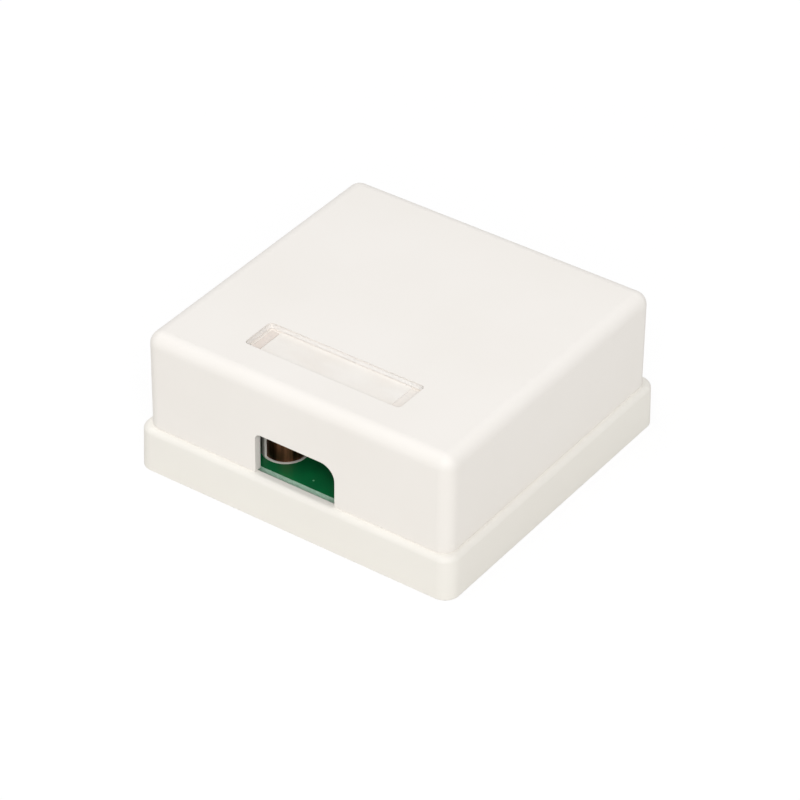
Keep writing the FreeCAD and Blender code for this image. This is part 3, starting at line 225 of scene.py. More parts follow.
def solderMask():
    # green epoxy mask over glass laminate: glossy, the cloth faintly showing; sawn edges dull and pale
    material, tree, shader, where = startMaterial("solderMask", IOR=1.52)
    place = addNode(tree, "ShaderNodeSeparateXYZ", {0: where}).outputs
    normal = addNode(tree, "ShaderNodeNewGeometry").outputs["Normal"]
    upward = addNode(tree, "ShaderNodeSeparateXYZ", {0: normal}).outputs["Z"]
    steep = addNode(tree, "ShaderNodeMath", {0: upward}, operation="ABSOLUTE").outputs[0]
    isFace = addNode(tree, "ShaderNodeMath", {0: steep, 1: 0.7}, operation="GREATER_THAN").outputs[0]
    threads = []
    for axis in ("X", "Y"):
        turns = {0: place[axis], 1: math.tau / boardLook["weave"]}
        turned = addNode(tree, "ShaderNodeMath", turns, operation="MULTIPLY").outputs[0]
        threads.append(addNode(tree, "ShaderNodeMath", {0: turned}, operation="SINE").outputs[0])
    cloth = addNode(tree, "ShaderNodeMath", {0: threads[0], 1: threads[1]}, operation="MULTIPLY").outputs[0]
    cloudy = {"Vector": where, "Scale": 1 / boardLook["cloud"], "Detail": 3.0}
    cloudy = addNode(tree, "ShaderNodeTexNoise", cloudy).outputs[0]
    depth = addNode(tree, "ShaderNodeMapRange", {0: cloudy, 1: 0.3, 2: 0.7}).outputs[0]
    mask = {0: depth, 6: linear(boardLook["mask"]), 7: linear(boardLook["maskDeep"])}
    mask = addNode(tree, "ShaderNodeMix", mask, data_type="RGBA").outputs[2]
    plies = {0: place["Z"], 1: math.tau / boardLook["ply"]}
    plies = addNode(tree, "ShaderNodeMath", plies, operation="MULTIPLY").outputs[0]
    plies = addNode(tree, "ShaderNodeMath", {0: plies}, operation="SINE").outputs[0]
    along = addNode(tree, "ShaderNodeMapping", {"Vector": where, "Scale": (1.0, 1.0, 4.0)}).outputs[0]
    frayed = {"Vector": along, "Scale": 1 / boardLook["fray"], "Detail": 4.0, "Roughness": 0.7}
    frayed = addNode(tree, "ShaderNodeTexNoise", frayed).outputs[0]
    cut = {0: plies, 1: boardLook["plyContrast"], 2: frayed}
    cut = addNode(tree, "ShaderNodeMath", cut, operation="MULTIPLY_ADD").outputs[0]
    cut = addNode(tree, "ShaderNodeMapRange", {0: cut, 1: 0.3, 2: 0.75}).outputs[0]
    edge = {0: cut, 6: linear(boardLook["laminate"]), 7: linear(boardLook["laminateDark"])}
    edge = addNode(tree, "ShaderNodeMix", edge, data_type="RGBA").outputs[2]
    colour = addNode(tree, "ShaderNodeMix", {0: isFace, 6: edge, 7: mask}, data_type="RGBA").outputs[2]
    tree.links.new(colour, shader.inputs["Base Color"])
    gloss = {0: isFace, 3: boardLook["laminateRoughness"], 4: boardLook["maskRoughness"]}
    tree.links.new(addNode(tree, "ShaderNodeMapRange", gloss).outputs[0], shader.inputs["Roughness"])
    height = {0: cloth, 1: 0.3, 2: cloudy}
    height = addNode(tree, "ShaderNodeMath", height, operation="MULTIPLY_ADD").outputs[0]
    bump = addNode(tree, "ShaderNodeBump", {"Height": height, "Distance": boardLook["relief"]})
    tree.links.new(bump.outputs[0], shader.inputs["Normal"])
    return material


def maskOverCopper(name, thin, thick):
    # the same green mask where copper lies under it: lighter, warmer and a little glossier
    material, tree, shader, where = startMaterial(name, IOR=1.52)
    cloudy = {"Vector": where, "Scale": 1 / boardLook["copperCloud"], "Detail": 3.0}
    cloudy = addNode(tree, "ShaderNodeTexNoise", cloudy).outputs[0]
    tone = addNode(tree, "ShaderNodeMix", {0: cloudy, 6: linear(thin), 7: linear(thick)}, data_type="RGBA")
    tree.links.new(tone.outputs[2], shader.inputs["Base Color"])
    smooth, rough = boardLook["copperRoughness"]
    gloss = addNode(tree, "ShaderNodeMapRange", {0: cloudy, 3: smooth, 4: rough}).outputs[0]
    tree.links.new(gloss, shader.inputs["Roughness"])
    return material


bronzeLook = {
    # dark is the painted shade in the streaks, pale the painted highlight
    "dark": "#2c1b12",
    "pale": "#8f6248",
    "shadeToHighlightBand": (0.36, 0.66),  # where in the streaks the painted shade ends and the painted highlight begins
    "streak": 1.1 * mm,
    "relief": 0.004 * mm,
    "roughness": (0.32, 0.55),
}


def rolledBronze():
    # phosphor bronze strip, rolled and gone brown with heat; streaks run up its height, and their dark and
    # pale tones are painted shade and highlight bands of the curved sleeve
    material, tree, shader, where = startMaterial("rolledBronze", Metallic=1.0)
    upright = addNode(tree, "ShaderNodeMapping", {"Vector": where, "Scale": (1.0, 1.0, 0.05)}).outputs[0]
    streaks = {"Vector": upright, "Scale": 1 / bronzeLook["streak"], "Detail": 3.0, "Roughness": 0.5}
    streaks = addNode(tree, "ShaderNodeTexNoise", streaks).outputs[0]
    # painted shade and highlight: the streaks pick between the dark and the pale tone
    tone = addNode(tree, "ShaderNodeValToRGB", {"Fac": streaks})
    for stop, place, key in zip(tone.color_ramp.elements, bronzeLook["shadeToHighlightBand"], ("dark", "pale")):
        stop.position = place
        stop.color = linear(bronzeLook[key])
    tree.links.new(tone.outputs[0], shader.inputs["Base Color"])
    smooth, rough = bronzeLook["roughness"]
    dull = addNode(tree, "ShaderNodeMapRange", {0: streaks, 3: smooth, 4: rough}).outputs[0]
    tree.links.new(dull, shader.inputs["Roughness"])
    bump = addNode(tree, "ShaderNodeBump", {"Height": streaks, "Distance": bronzeLook["relief"]})
    tree.links.new(bump.outputs[0], shader.inputs["Normal"])
    return material


metalLook = {"relief": 0.002 * mm, "edge": 0.06 * mm}


def mottledMetal(name, bright, dark, grain, roughness, stretch=(1.0, 1.0, 1.0)):
    # plated or rolled metal: two close tones and a gloss that follow one pattern, long along the rolling
    material, tree, shader, where = startMaterial(name, Metallic=1.0)
    along = addNode(tree, "ShaderNodeMapping", {"Vector": where, "Scale": stretch}).outputs[0]
    mottle = {"Vector": along, "Scale": 1 / grain, "Detail": 4.0, "Roughness": 0.65}
    mottle = addNode(tree, "ShaderNodeTexNoise", mottle).outputs[0]
    tone = addNode(tree, "ShaderNodeMix", {0: mottle, 6: linear(bright), 7: linear(dark)}, data_type="RGBA")
    tree.links.new(tone.outputs[2], shader.inputs["Base Color"])
    smooth, rough = roughness
    gloss = {0: mottle, 1: 0.25, 2: 0.75, 3: smooth, 4: rough}
    tree.links.new(addNode(tree, "ShaderNodeMapRange", gloss).outputs[0], shader.inputs["Roughness"])
    softened = addNode(tree, "ShaderNodeBevel", {"Radius": metalLook["edge"]}, samples=4)
    bump = {"Height": mottle, "Distance": metalLook["relief"], "Normal": softened.outputs[0]}
    tree.links.new(addNode(tree, "ShaderNodeBump", bump).outputs[0], shader.inputs["Normal"])
    return material


pbtLook = {
    "fleck": 0.22 * mm,
    "relief": 0.004 * mm,
    "glossBand": (-0.06, 0.08),  # round each moulding's own roughness
    "edge": 0.1 * mm,
}


def mouldedPbt(name, colour, fleck, roughness):
    # glass-filled PBT in a satin tool: dense colour, short fibres showing as faint flecks
    material, tree, shader, where = startMaterial(name, IOR=1.55)
    along = addNode(tree, "ShaderNodeMapping", {"Vector": where, "Scale": (1.0, 0.3, 1.0)}).outputs[0]
    flecks = {"Vector": along, "Scale": 1 / pbtLook["fleck"], "Detail": 4.0, "Roughness": 0.7}
    flecks = addNode(tree, "ShaderNodeTexNoise", flecks).outputs[0]
    tone = {0: flecks, 6: linear(colour), 7: linear(fleck)}
    tone = addNode(tree, "ShaderNodeMix", tone, data_type="RGBA")
    tree.links.new(tone.outputs[2], shader.inputs["Base Color"])
    smooth, rough = (roughness + offset for offset in pbtLook["glossBand"])
    gloss = {0: flecks, 3: smooth, 4: rough}
    tree.links.new(addNode(tree, "ShaderNodeMapRange", gloss).outputs[0], shader.inputs["Roughness"])
    softened = addNode(tree, "ShaderNodeBevel", {"Radius": pbtLook["edge"]}, samples=4)
    bump = {"Height": flecks, "Distance": pbtLook["relief"], "Normal": softened.outputs[0]}
    tree.links.new(addNode(tree, "ShaderNodeBump", bump).outputs[0], shader.inputs["Normal"])
    return material


finishes = {
    "coverAbs": mouldedAbs("coverAbs", absLook["cover"]),
    "trayAbs": mouldedAbs("trayAbs", absLook["tray"]),
    "clear": clearPolycarbonate(),
    # on the lens's sides this near-white is a painted reflection: it stands in for the card that the sides
    # mirror
    "milkySides": milkyPolycarbonate("milkySides", "#ffffff", "#faf8f6"),
    "milkyFeet": milkyPolycarbonate("milkyFeet", "#f0ede9", "#e3dad3"),
    "card": uncoatedCard(),
    "mask": solderMask(),
    "copper": maskOverCopper("maskOverCopper", "#2b8a4e", "#1c7442"),
    # over a via's rim the mask runs thin and the tinned copper shows paler through it; the pale tone is
    # also a painted highlight, standing in for the glint on the via's dome
    "viaRimPaintedGlint": maskOverCopper("maskOverViaPaintedGlint", "#93d2a8", "#72b98d"),
    "bronze": rolledBronze(),
    # bright zinc on steel: bluish silver with a crystalline mottling about 0.4 mm across
    "zinc": mottledMetal("zincPlate", "#cfd3d6", "#a6abb0", 0.4 * mm, (0.22, 0.4)),
    # thin gold over nickel on drawn wire: warm and bright, with draw lines along the wire
    "gold": mottledMetal("goldFlash", "#ecc672", "#c8973e", 0.3 * mm, (0.16, 0.3), (4.0, 0.3, 0.3)),
    # bright nickel on rolled brass sheet: roll lines from front to back, 0.05 mm apart, drawn coarser
    "nickel": mottledMetal("nickelSheet", "#d3cec4", "#b2ada2", 0.2 * mm, (0.2, 0.34), (1.0, 0.04, 1.0)),
    # electroplated matt tin: pale grey with a soft grain and no mirror
    "tin": mottledMetal("mattTin", "#c9cbcb", "#9fa1a0", 0.25 * mm, (0.34, 0.5)),
    "blackPbt": mouldedPbt("blackPbt", "#1b1b1d", "#252527", 0.4),
    "greyPbt": mouldedPbt("greyPbt", "#8d8f91", "#7d7f82", 0.44),
    "ivoryPbt": mouldedPbt("ivoryPbt", "#e8e2d2", "#ddd6c4", 0.4),
}
print("materials made")

nodeFinish = {
    "base_tray": "trayAbs",
    "cover": "coverAbs",
    "label_window": "clear",
    "label_card": "card",
    "circuit_board": "mask",
    "shield_sleeve": "bronze",
}
screwNodes = [f"board_screw_{end}_{side}" for end in ("front", "rear") for side in sides]
nodeFinish.update({name: "zinc" for name in screwNodes})
for side in sides:
    nodeFinish[f"jack_housing_{side}"] = "blackPbt"
    nodeFinish[f"jack_carrier_{side}"] = "greyPbt"
    nodeFinish[f"jack_contacts_{side}"] = "gold"
    nodeFinish[f"jack_shield_{side}"] = "nickel"
    nodeFinish[f"idc_block_{side}"] = "ivoryPbt"
    nodeFinish[f"idc_contacts_{side}"] = "tin"
for name, finish in nodeFinish.items():
    mesh = nodes[name].data
    mesh.materials.clear()
    mesh.materials.append(finishes[finish])
print("finishes given to the frame's own pieces")


def startTree(name, sizes):
    # a Geometry Nodes tree with a mesh in and out and a named input for each size
    tree = bpy.data.node_groups.new(name, "GeometryNodeTree")
    for way in ("INPUT", "OUTPUT"):
        tree.interface.new_socket("Geometry", in_out=way, socket_type="NodeSocketGeometry")
    for label, value in sizes.items():
        kind = "NodeSocketInt" if isinstance(value, int) else "NodeSocketFloat"
        tree.interface.new_socket(label, in_out="INPUT", socket_type=kind)
    return tree, addNode(tree, "NodeGroupInput").outputs


def endTree(tree, geometry, finish):
    # makes the copies real and gives them their finish
    solid = addNode(tree, "GeometryNodeRealizeInstances", {0: geometry}).outputs[0]
    dressed = {"Geometry": solid, "Material": finishes[finish]}
    dressed = addNode(tree, "GeometryNodeSetMaterial", dressed).outputs[0]
    addNode(tree, "NodeGroupOutput", {0: dressed})


def addObject(name, content):
    made = bpy.data.objects.new(name, content)
    bpy.context.scene.collection.objects.link(made)
    return made


def keepPiece(name, mesh, replaced=(), body="base", smoothUnder=35):
    # the mesh as a finished piece, smooth but for edges sharper than the given angle in degrees
    for polygon in mesh.polygons:
        polygon.use_smooth = True
    mesh.set_sharp_from_angle(angle=math.radians(smoothUnder))
    piece = addObject(name, mesh)
    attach(piece, body)
    if replaced:
        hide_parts(*replaced)
    print(name, "made with", len(mesh.polygons), "faces")
    return piece


def growPiece(name, tree, source, sizes, replaced=()):
    # runs the tree on the source mesh, and keeps the result as a plain mesh that rides on the base
    seed = addObject(name + "Seed", source)
    modifier = seed.modifiers.new("grow", "NODES")
    modifier.node_group = tree
    for item in tree.interface.items_tree:
        if item.in_out == "INPUT" and item.name in sizes:
            modifier[item.identifier] = sizes[item.name]
    grown = seed.evaluated_get(bpy.context.evaluated_depsgraph_get())
    mesh = bpy.data.meshes.new_from_object(grown)
    seed.modifiers.remove(modifier)
    bpy.data.objects.remove(seed)
    keepPiece(name, mesh, replaced)


def sweepLines(tree, given, section):
    # the section swept along the source's lines, whose corners are rounded on the way
    spine = addNode(tree, "GeometryNodeMeshToCurve", {0: given["Geometry"]}).outputs[0]
    bends = {"Curve": spine, "Count": given["Bend steps"], "Radius": given["Bend"]}
    spine = addNode(tree, "GeometryNodeFilletCurve", bends, mode="POLY").outputs[0]
    swept = {"Curve": spine, "Profile Curve": section, "Fill Caps": True}
    return addNode(tree, "GeometryNodeCurveToMesh", swept).outputs[0]


def polylines(name, lines):
    # a mesh of bare edges through each line's points, for a tree to follow
    mesh = bpy.data.meshes.new(name)
    points, edges = [], []
    for line in lines:
        edges += [(len(points) + i, len(points) + i + 1) for i in range(len(line) - 1)]
        points += line
    mesh.from_pydata(points, edges, [])
    return mesh


def asMesh(name, shape):
    mesh = bpy.data.meshes.new(name)
    shape.to_mesh(mesh)
    shape.free()
    return mesh


def turnedMesh(name, profile, steps):
    # a closed turned form about the Z axis; the profile is (radius, height) from top to bottom
    shape = bmesh.new()
    rings = []
    for radius, height in profile:
        count = steps if radius > 0 else 1
        ring = []
        for i in range(count):
            angle = math.tau * i / steps
            ring.append(shape.verts.new((radius * math.cos(angle), radius * math.sin(angle), height)))
        rings.append(ring)
    for upper, lower in zip(rings, rings[1:]):
        for i in range(steps):
            corners = [upper[i % len(upper)], lower[i % len(lower)]]
            if len(lower) > 1:
                corners.append(lower[(i + 1) % steps])
            if len(upper) > 1:
                corners.append(upper[(i + 1) % steps])
            shape.faces.new(corners)
    bmesh.ops.recalc_face_normals(shape, faces=shape.faces)
    return asMesh(name, shape)


def closeRings(shape, lower, upper):
    # faces over, under and all round between two rings of points
    over, under = shape.faces.new(upper), shape.faces.new(lower[::-1])
    around = []
    for i in range(len(lower)):
        j = (i + 1) % len(lower)
        around.append(shape.faces.new((lower[i], lower[j], upper[j], upper[i])))
    return over, under, around


lens = {  # millimetres
    "corner": 0.7,
    "cornerSteps": 6,
    "edge": 0.12,  # polished round on the upper edge
    "edgeSteps": 3,
    "cardClear": 0.05,
    "footClear": 0.03,  # under the feet, so that they never fight with the recess's floor
    "footLength": 1.6,
    "footWidth": 6.0,
    "footInset": 0.7,
    "legThick": 1.0,
    "legWidth": 3.6,
    "merge": 0.02,  # how far a foot reaches into the lens, and a leg into its foot
}
lensFinishes = ["clear", "milkySides", "milkyFeet"]


def addPrism(shape, middle, width, breadth, low, high, finish, corner=0):
    # an upright block in millimetres, its sides in the given finish; returns its top and bottom faces
    outline = []
    steps = lens["cornerSteps"] if corner else 0
    for quarter, (sideX, sideY) in enumerate(((1, 1), (-1, 1), (-1, -1), (1, -1))):
        for i in range(steps + 1):
            angle = math.pi / 2 * (quarter + (i / steps if steps else 0))
            x = sideX * (width / 2 - corner) + corner * math.cos(angle)
            y = sideY * (breadth / 2 - corner) + corner * math.sin(angle)
            outline.append((middle[0] + x, middle[1] + y))
    upper = [shape.verts.new((x * mm, y * mm, high * mm)) for x, y in outline]
    lower = [shape.verts.new((x * mm, y * mm, low * mm)) for x, y in outline]
    over, under, around = closeRings(shape, lower, upper)
    for face in around:
        face.material_index = lensFinishes.index(finish)
    return over, under


def makeLens():
    # the clear window with its upper edge rounded, and milky feet and legs at its ends
    low, high = (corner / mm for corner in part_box("label_window"))
    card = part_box("label_card")
    underside, floor = card[1].z / mm + lens["cardClear"], card[0].z / mm
    middle = (low + high) / 2
    shape = bmesh.new()
    size = (high.x - low.x, high.y - low.y)
    top = addPrism(shape, middle, *size, underside, high.z, "milkySides", lens["corner"])[0]
    rounded = {"offset": lens["edge"] * mm, "segments": lens["edgeSteps"], "profile": 0.5}
    bmesh.ops.bevel(shape, geom=list(top.edges), affect="EDGES", **rounded)
    for side in sides.values():
        footX = side * (high.x - lens["footInset"] - lens["footLength"] / 2)
        footLow, footHigh = floor + lens["footClear"], underside + lens["merge"]
        foot = ((footX, middle.y), lens["footLength"], lens["footWidth"], footLow, footHigh)
        legX = side * (high.x - lens["footInset"] - lens["legThick"] / 2)
        leg = ((legX, middle.y), lens["legThick"], lens["legWidth"], low.z, footLow + lens["merge"])
        for block in (foot, leg):
            for face in addPrism(shape, *block, "milkyFeet"):
                face.material_index = lensFinishes.index("milkyFeet")
    mesh = asMesh("labelLens", shape)
    for finish in lensFinishes:
        mesh.materials.append(finishes[finish])
    piece = keepPiece("labelLens", mesh, ["label_window"], "window", smoothUnder=20)
    piece.visible_shadow = False  # lamps light the card through the clear window


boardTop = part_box("circuit_board")[1].z
socketBoxes = {side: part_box(f"jack_shield_{side}") for side in sides}
socketX = {side: (box[0].x + box[1].x) / 2 for side, box in socketBoxes.items()}
socketFace = socketBoxes["left"][1].y
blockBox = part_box("idc_block_left")
blockY = (blockBox[0].y + blockBox[1].y) / 2

wires = {  # millimetres: depths from the sockets' face, heights from the board's top
    "thickness": 0.44,
    "facets": 12,
    "bend": 0.65,
    "bendSteps": 6,
    "pitch": 1.016,
    "count": 8,
    "nearTail": 15.6,  # depth where every other wire comes up through the board
    "farTail": 18.14,
    "tailEnd": -3.0,
    "run": 11.6,  # height over the plug
    "nose": 2.0,
    "noseDrop": 1.45,
    "springEnd": 9.5,
    "springDrop": 3.7,
}


def makeContactWires():
    # round gold wires: up through the carrier, forward over the plug, round the nose and back as springs
    lines = []
    run, nose = wires["run"], wires["nose"]
    for i, tail in enumerate(("nearTail", "farTail")):
        route = [(wires[tail], wires["tailEnd"]), (wires[tail], run), (nose, run)]
        route += [(nose, run - wires["noseDrop"]), (wires["springEnd"], run - wires["springDrop"])]
        x = socketX["left"] + (i - (wires["count"] - 1) / 2) * wires["pitch"] * mm
        lines.append([(x, socketFace - depth * mm, boardTop + height * mm) for depth, height in route])
    sizes = {
        "Thickness": wires["thickness"] * mm,
        "Facets": wires["facets"],
        "Bend": wires["bend"] * mm,
        "Bend steps": wires["bendSteps"],
        "Step": 2 * wires["pitch"] * mm,  # the tree repeats the two wires as pairs
        "Pairs": wires["count"] // 2,
        "Socket pitch": socketX["right"] - socketX["left"],
    }
    tree, given = startTree("contactWires", sizes)
    half = addNode(tree, "ShaderNodeMath", {0: given["Thickness"], 1: 0.5}, operation="MULTIPLY").outputs[0]
    section = {"Resolution": given["Facets"], "Radius": half}
    section = addNode(tree, "GeometryNodeCurvePrimitiveCircle", section).outputs[0]
    tube = sweepLines(tree, given, section)
    step = addNode(tree, "ShaderNodeCombineXYZ", {"X": given["Step"]}).outputs[0]
    row = addNode(tree, "GeometryNodeMeshLine", {"Count": given["Pairs"], "Offset": step}).outputs[0]
    comb = addNode(tree, "GeometryNodeInstanceOnPoints", {"Points": row, "Instance": tube}).outputs[0]
    apart = addNode(tree, "ShaderNodeCombineXYZ", {"X": given["Socket pitch"]}).outputs[0]
    pair = addNode(tree, "GeometryNodeMeshLine", {"Count": len(sides), "Offset": apart}).outputs[0]
    both = addNode(tree, "GeometryNodeInstanceOnPoints", {"Points": pair, "Instance": comb}).outputs[0]
    endTree(tree, both, "gold")
    replaced = [f"jack_contacts_{side}" for side in sides]
    growPiece("contactWires", tree, polylines("wireRoutes", lines), sizes, replaced)


screws = {  # millimetres; widths are half widths
    "headRadius": 2.8,
    "headHeight": 1.9,
    "shank": 1.2,
    "length": 6.0,
    "recess": 1.6,
    "recessWidth": 0.36,
    "recessDepth": 1.15,
    "recessTaper": 0.55,
    "cutterTop": 1.2,  # share of the head's height
    "facets": 32,
    "seed": 7,
    "head": [  # shares of the head's radius and height, from its crown to its underside
        (0, 1), (0.45, 0.985), (0.72, 0.9), (0.9, 0.72), (0.98, 0.45), (1, 0.2), (0.99, 0.04), (0.96, 0),
    ],
    "stem": [  # shares of the shank's radius and length, down to its tip
        (1.25, 0), (1, -0.1), (1, -0.86), (0.35, -1), (0, -1),
    ],
}


def crossCutter():
    # the tapered cross that is cut out of a screw's head, standing a little above its crown
    rise, depth = screws["headHeight"] * mm, screws["recessDepth"] * mm
    reach, width = screws["recess"] * mm, screws["recessWidth"] * mm
    plan = [
        (width, width), (width, reach), (-width, reach),
        (-width, width), (-reach, width), (-reach, -width),
    ]
    plan += [(-x, -y) for x, y in plan]
    taper = screws["recessTaper"]
    shape = bmesh.new()
    top = [shape.verts.new((x, y, screws["cutterTop"] * rise)) for x, y in plan]
    low = [shape.verts.new((taper * x, taper * y, rise - depth)) for x, y in plan]
    closeRings(shape, low, top)
    bmesh.ops.recalc_face_normals(shape, faces=shape.faces)
    return addObject("screwCross", asMesh("screwCross", shape))


def makeBoardScrews():
    # pan-head screws with a tapered cross recess, each turned to its own angle
    head, rise = screws["headRadius"] * mm, screws["headHeight"] * mm
    shank, length = screws["shank"] * mm, screws["length"] * mm
    profile = [(x * head, y * rise) for x, y in screws["head"]]
    profile += [(x * shank, y * length) for x, y in screws["stem"]]
    body = turnedMesh("screwBody", profile, screws["facets"])
    cutter = crossCutter()
    screwBoxes = [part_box(name) for name in screwNodes]
    middles = [(low + high) / 2 for low, high in screwBoxes]
    sizes = {
        "Across": max(middle.x for middle in middles) - min(middle.x for middle in middles),
        "Along": max(middle.y for middle in middles) - min(middle.y for middle in middles),
        "Height": boardTop,
        "Seed": screws["seed"],
    }
    tree, given = startTree("boardScrews", sizes)
    cross = addNode(tree, "GeometryNodeObjectInfo", {"Object": cutter}).outputs["Geometry"]
    screw = {0: given["Geometry"], 1: cross}
    screw = addNode(tree, "GeometryNodeMeshBoolean", screw, operation="DIFFERENCE").outputs[0]
    corners = {"Size X": given["Across"], "Size Y": given["Along"], "Vertices X": 2, "Vertices Y": 2}
    corners = addNode(tree, "GeometryNodeMeshGrid", corners).outputs[0]
    lift = addNode(tree, "ShaderNodeCombineXYZ", {"Z": given["Height"]}).outputs[0]
    corners = addNode(tree, "GeometryNodeSetPosition", {"Geometry": corners, "Offset": lift}).outputs[0]
    turn = {"Min": 0.0, "Max": math.tau, "Seed": given["Seed"]}
    turn = addNode(tree, "FunctionNodeRandomValue", turn, data_type="FLOAT")
    turn = next(socket for socket in turn.outputs if socket.enabled)
    turn = addNode(tree, "ShaderNodeCombineXYZ", {"Z": turn}).outputs[0]
    placed = {"Points": corners, "Instance": screw, "Rotation": turn}
    placed = addNode(tree, "GeometryNodeInstanceOnPoints", placed).outputs[0]
    endTree(tree, placed, "zinc")
    growPiece("boardScrews", tree, body, sizes, screwNodes)
    bpy.data.objects.remove(cutter)


traces = {  # millimetres
    "width": 0.5,
    "rise": 0.035,
    "sunk": 0.005,
    "bend": 0.6,
    "bendSteps": 3,
    "rowSpacing": 6.4,  # between a block's two rows of blades
    "slotSpacing": 3.8,
    "shift": 0.75,  # sideways, past the other row's blade
    "firstJog": 6.6,  # in front of the blocks' middle
    "jogStep": 0.25,
}


def makeTraces():
    # a copper trace from each blade to its contact wire, with 45 degree jogs, standing up through the mask
    lines = []
    count = wires["count"]
    height = boardTop + (traces["rise"] / 2 - traces["sunk"]) * mm
    for side in sides:
        for i in range(count):
            row = -1 if i % 2 else 1
            startX = socketX[side] + (i // 2 - (count / 2 - 1) / 2) * traces["slotSpacing"] * mm
            startY = blockY + row * traces["rowSpacing"] / 2 * mm
            laneX = startX + (row * traces["shift"] if row < 0 else 0) * mm
            endX = socketX[side] + (i - (count - 1) / 2) * wires["pitch"] * mm
            endY = socketFace - (wires["farTail"] if i % 2 else wires["nearTail"]) * mm
            jogY = blockY + (traces["firstJog"] + traces["jogStep"] * i) * mm
            line = [(startX, startY)]
            if row < 0:
                line.append((laneX, startY + abs(laneX - startX)))
            line += [(laneX, jogY), (endX, jogY + abs(endX - laneX)), (endX, endY)]
            lines.append([(x, y, height) for x, y in line])
    sizes = {
        "Width": traces["width"] * mm,
        "Rise": traces["rise"] * mm,
        "Bend": traces["bend"] * mm,
        "Bend steps": traces["bendSteps"],
    }
    tree, given = startTree("boardTraces", sizes)
    strip = {"Width": given["Width"], "Height": given["Rise"]}
    strip = addNode(tree, "GeometryNodeCurvePrimitiveQuadrilateral", strip).outputs[0]
    endTree(tree, sweepLines(tree, given, strip), "copper")
    growPiece("boardTraces", tree, polylines("traceRoutes", lines), sizes)


vias = {  # millimetres
    "radius": 0.11,
    "facets": 14,
    "rim": 0.09,
    "rimFacets": 6,
    "flatness": 0.3,
    "places": [
        (1.07, -26.97), (6.4, -19.2), (-1.6, -17.8), (14.6, -21.5), (19.2, -14.1),
        (-19.8, -19.6), (-26.0, -12.4), (26.4, -11.8), (0.0, 3.4), (0.0, 8.2),
        (-22.6, 7.4), (22.4, 9.6), (-25.2, 17.3), (25.6, 14.8),
    ],
}


def makeVias():
    # small raised rings where a hole joins the board's two sides, under the mask
    sizes = {
        "Radius": vias["radius"] * mm,
        "Facets": vias["facets"],
        "Rim": vias["rim"] * mm,
        "Rim facets": vias["rimFacets"],
        "Flatness": vias["flatness"],
    }
    tree, given = startTree("boardVias", sizes)
    ring = {"Resolution": given["Facets"], "Radius": given["Radius"]}
    ring = addNode(tree, "GeometryNodeCurvePrimitiveCircle", ring).outputs[0]
    rim = {"Resolution": given["Rim facets"], "Radius": given["Rim"]}
    rim = addNode(tree, "GeometryNodeCurvePrimitiveCircle", rim).outputs[0]
    ring = addNode(tree, "GeometryNodeCurveToMesh", {"Curve": ring, "Profile Curve": rim}).outputs[0]
    flat = addNode(tree, "ShaderNodeCombineXYZ", {"X": 1.0, "Y": 1.0, "Z": given["Flatness"]}).outputs[0]
    flat = addNode(tree, "GeometryNodeTransform", {"Geometry": ring, "Scale": flat}).outputs[0]
    placed = {"Points": given["Geometry"], "Instance": flat}
    placed = addNode(tree, "GeometryNodeInstanceOnPoints", placed).outputs[0]
    # the rings take the pale via finish, which also paints the glint on each via's dome
    endTree(tree, placed, "viaRimPaintedGlint")
    source = polylines("viaPoints", [[(x * mm, y * mm, boardTop)] for x, y in vias["places"]])
    growPiece("boardVias", tree, source, sizes)


solder = {
    "reach": 1.25,  # millimetres
    "rise": 0.75,
    "facets": 20,
    "side": [  # shares of the reach and rise, from the tip down the hollow side and into the board
        (0, 1), (0.3, 0.94), (0.42, 0.6), (0.62, 0.28), (0.85, 0.1), (1, 0.03), (1, -0.02), (0, -0.02),
    ],
}


def makeSolderJoint():
    # the hollow-sided cone of solder round the sleeve's tail
    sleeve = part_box("shield_sleeve")
    middle = Vector(((sleeve[0].x + sleeve[1].x) / 2, sleeve[1].y, boardTop))
    profile = [(x * solder["reach"] * mm, y * solder["rise"] * mm) for x, y in solder["side"]]
    mesh = turnedMesh("solderJoint", profile, solder["facets"])
    mesh.transform(Matrix.Translation(middle))
    mesh.materials.append(finishes["tin"])
    keepPiece("solderJoint", mesh)


makeLens()
makeContactWires()
makeBoardScrews()
makeTraces()
makeVias()
makeSolderJoint()


studio = {
    "camera": (306.13, -438.04, 396.99),  # millimetres in the frame
    "right": (0.81593, 0.57807, 0.00903),  # the view's own right and up
    "up": (-0.34557, 0.47512, 0.80922),
    "lens": 169.05,
    "sensor": 36,
    "clip": (0.01, 20),  # metres
    "sky": 0.53,
    "floor": "#e8e7e4",
    "floorReach": 3.0,  # metres
    "floorClear": 0.02,  # millimetres under the tray
    "shadowPaper": "#6a6a6a",
    "paperGlow": 0.86,
    "glowFrom": 0.12,  # metres from the middle, where the glow starts its rise to full white
    "glowTo": 0.8,
}
lamps = {  # places and sizes in metres, powers in watts
    "keySoftbox": {"place": (0.638, -0.788, 0.847), "size": 0.7, "power": 8.0},
    "topSoftbox": {"place": (-0.35, -0.1, 1.3), "size": 0.9, "power": 5.1},
}


def setCamera():
    camera = addObject("camera", bpy.data.cameras.new("camera"))
    camera.data.lens = studio["lens"]
    camera.data.sensor_width = studio["sensor"]
    camera.data.clip_start, camera.data.clip_end = studio["clip"]
    right, up = Vector(studio["right"]).normalized(), Vector(studio["up"])
    up = (up - right * up.dot(right)).normalized()
    turn = Matrix((right, up, right.cross(up))).transposed().to_4x4()
    camera.matrix_world = Matrix.Translation(Vector(studio["camera"]) * mm) @ turn
    bpy.context.scene.camera = camera


def addSoftbox(name, place, size, power):
    # a square soft light that faces the object
    lamp = bpy.data.lights.new(name, "AREA")
    lamp.shape, lamp.size, lamp.energy = "SQUARE", size, power
    place = Vector(place)
    turn = place.to_track_quat("Z", "Y").to_matrix().to_4x4()
    addObject(name, lamp).matrix_world = Matrix.Translation(place) @ turn


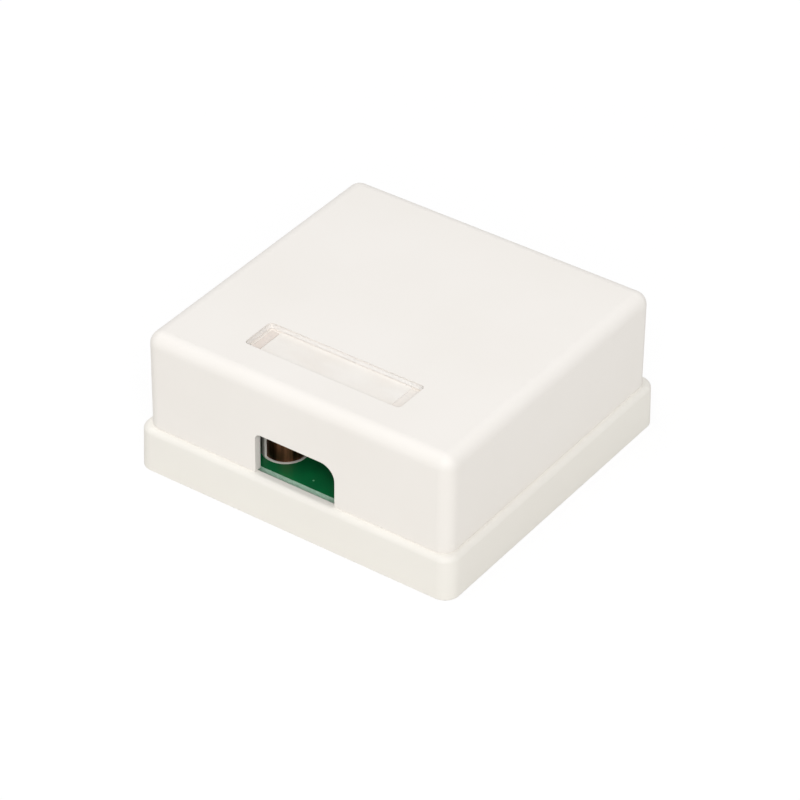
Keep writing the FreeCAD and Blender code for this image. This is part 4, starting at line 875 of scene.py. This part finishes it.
def makeFloor():
    # a white paper sweep; the camera sees it near white, with the object's shadow kept faint
    reach = studio["floorReach"]
    mesh = bpy.data.meshes.new("floor")
    corners = [(-reach, -reach, 0), (reach, -reach, 0), (reach, reach, 0), (-reach, reach, 0)]
    mesh.from_pydata(corners, [], [(0, 1, 2, 3)])
    floor = addObject("floor", mesh)
    floor.location.z = -studio["floorClear"] * mm
    material, tree, where = emptyMaterial("paperSweep")
    paper = addNode(tree, "ShaderNodeBsdfDiffuse", {"Color": linear(studio["floor"])}).outputs[0]
    shadow = addNode(tree, "ShaderNodeBsdfDiffuse", {"Color": linear(studio["shadowPaper"])}).outputs[0]
    away = addNode(tree, "ShaderNodeVectorMath", {0: where}, operation="LENGTH").outputs["Value"]
    glow = {0: away, 1: studio["glowFrom"], 2: studio["glowTo"], 3: studio["paperGlow"], 4: 1.0}
    glow = addNode(tree, "ShaderNodeMapRange", glow).outputs[0]
    glow = addNode(tree, "ShaderNodeEmission", {"Strength": glow}).outputs[0]
    seen = addNode(tree, "ShaderNodeAddShader", {0: shadow, 1: glow}).outputs[0]
    rays = addNode(tree, "ShaderNodeLightPath").outputs
    mixed = addNode(tree, "ShaderNodeMixShader", {0: rays["Is Camera Ray"], 1: paper, 2: seen}).outputs[0]
    addNode(tree, "ShaderNodeOutputMaterial", {"Surface": mixed})
    mesh.materials.append(material)


def setWorld():
    # an even soft sky that the camera sees as white
    world = bpy.data.worlds.new("studio")
    bpy.context.scene.world = world
    world.use_nodes = True
    tree = world.node_tree
    tree.nodes.clear()
    seen = addNode(tree, "ShaderNodeLightPath").outputs["Is Camera Ray"]
    strength = addNode(tree, "ShaderNodeMapRange", {0: seen, 3: studio["sky"], 4: 1.0}).outputs[0]
    light = {"Color": linear("#ffffff"), "Strength": strength}
    light = addNode(tree, "ShaderNodeBackground", light).outputs[0]
    addNode(tree, "ShaderNodeOutputWorld", {"Surface": light})


setCamera()
setWorld()
makeFloor()
for name, lamp in lamps.items():
    addSoftbox(name, **lamp)
bpy.context.scene.view_settings.view_transform = "Standard"
print("studio set")
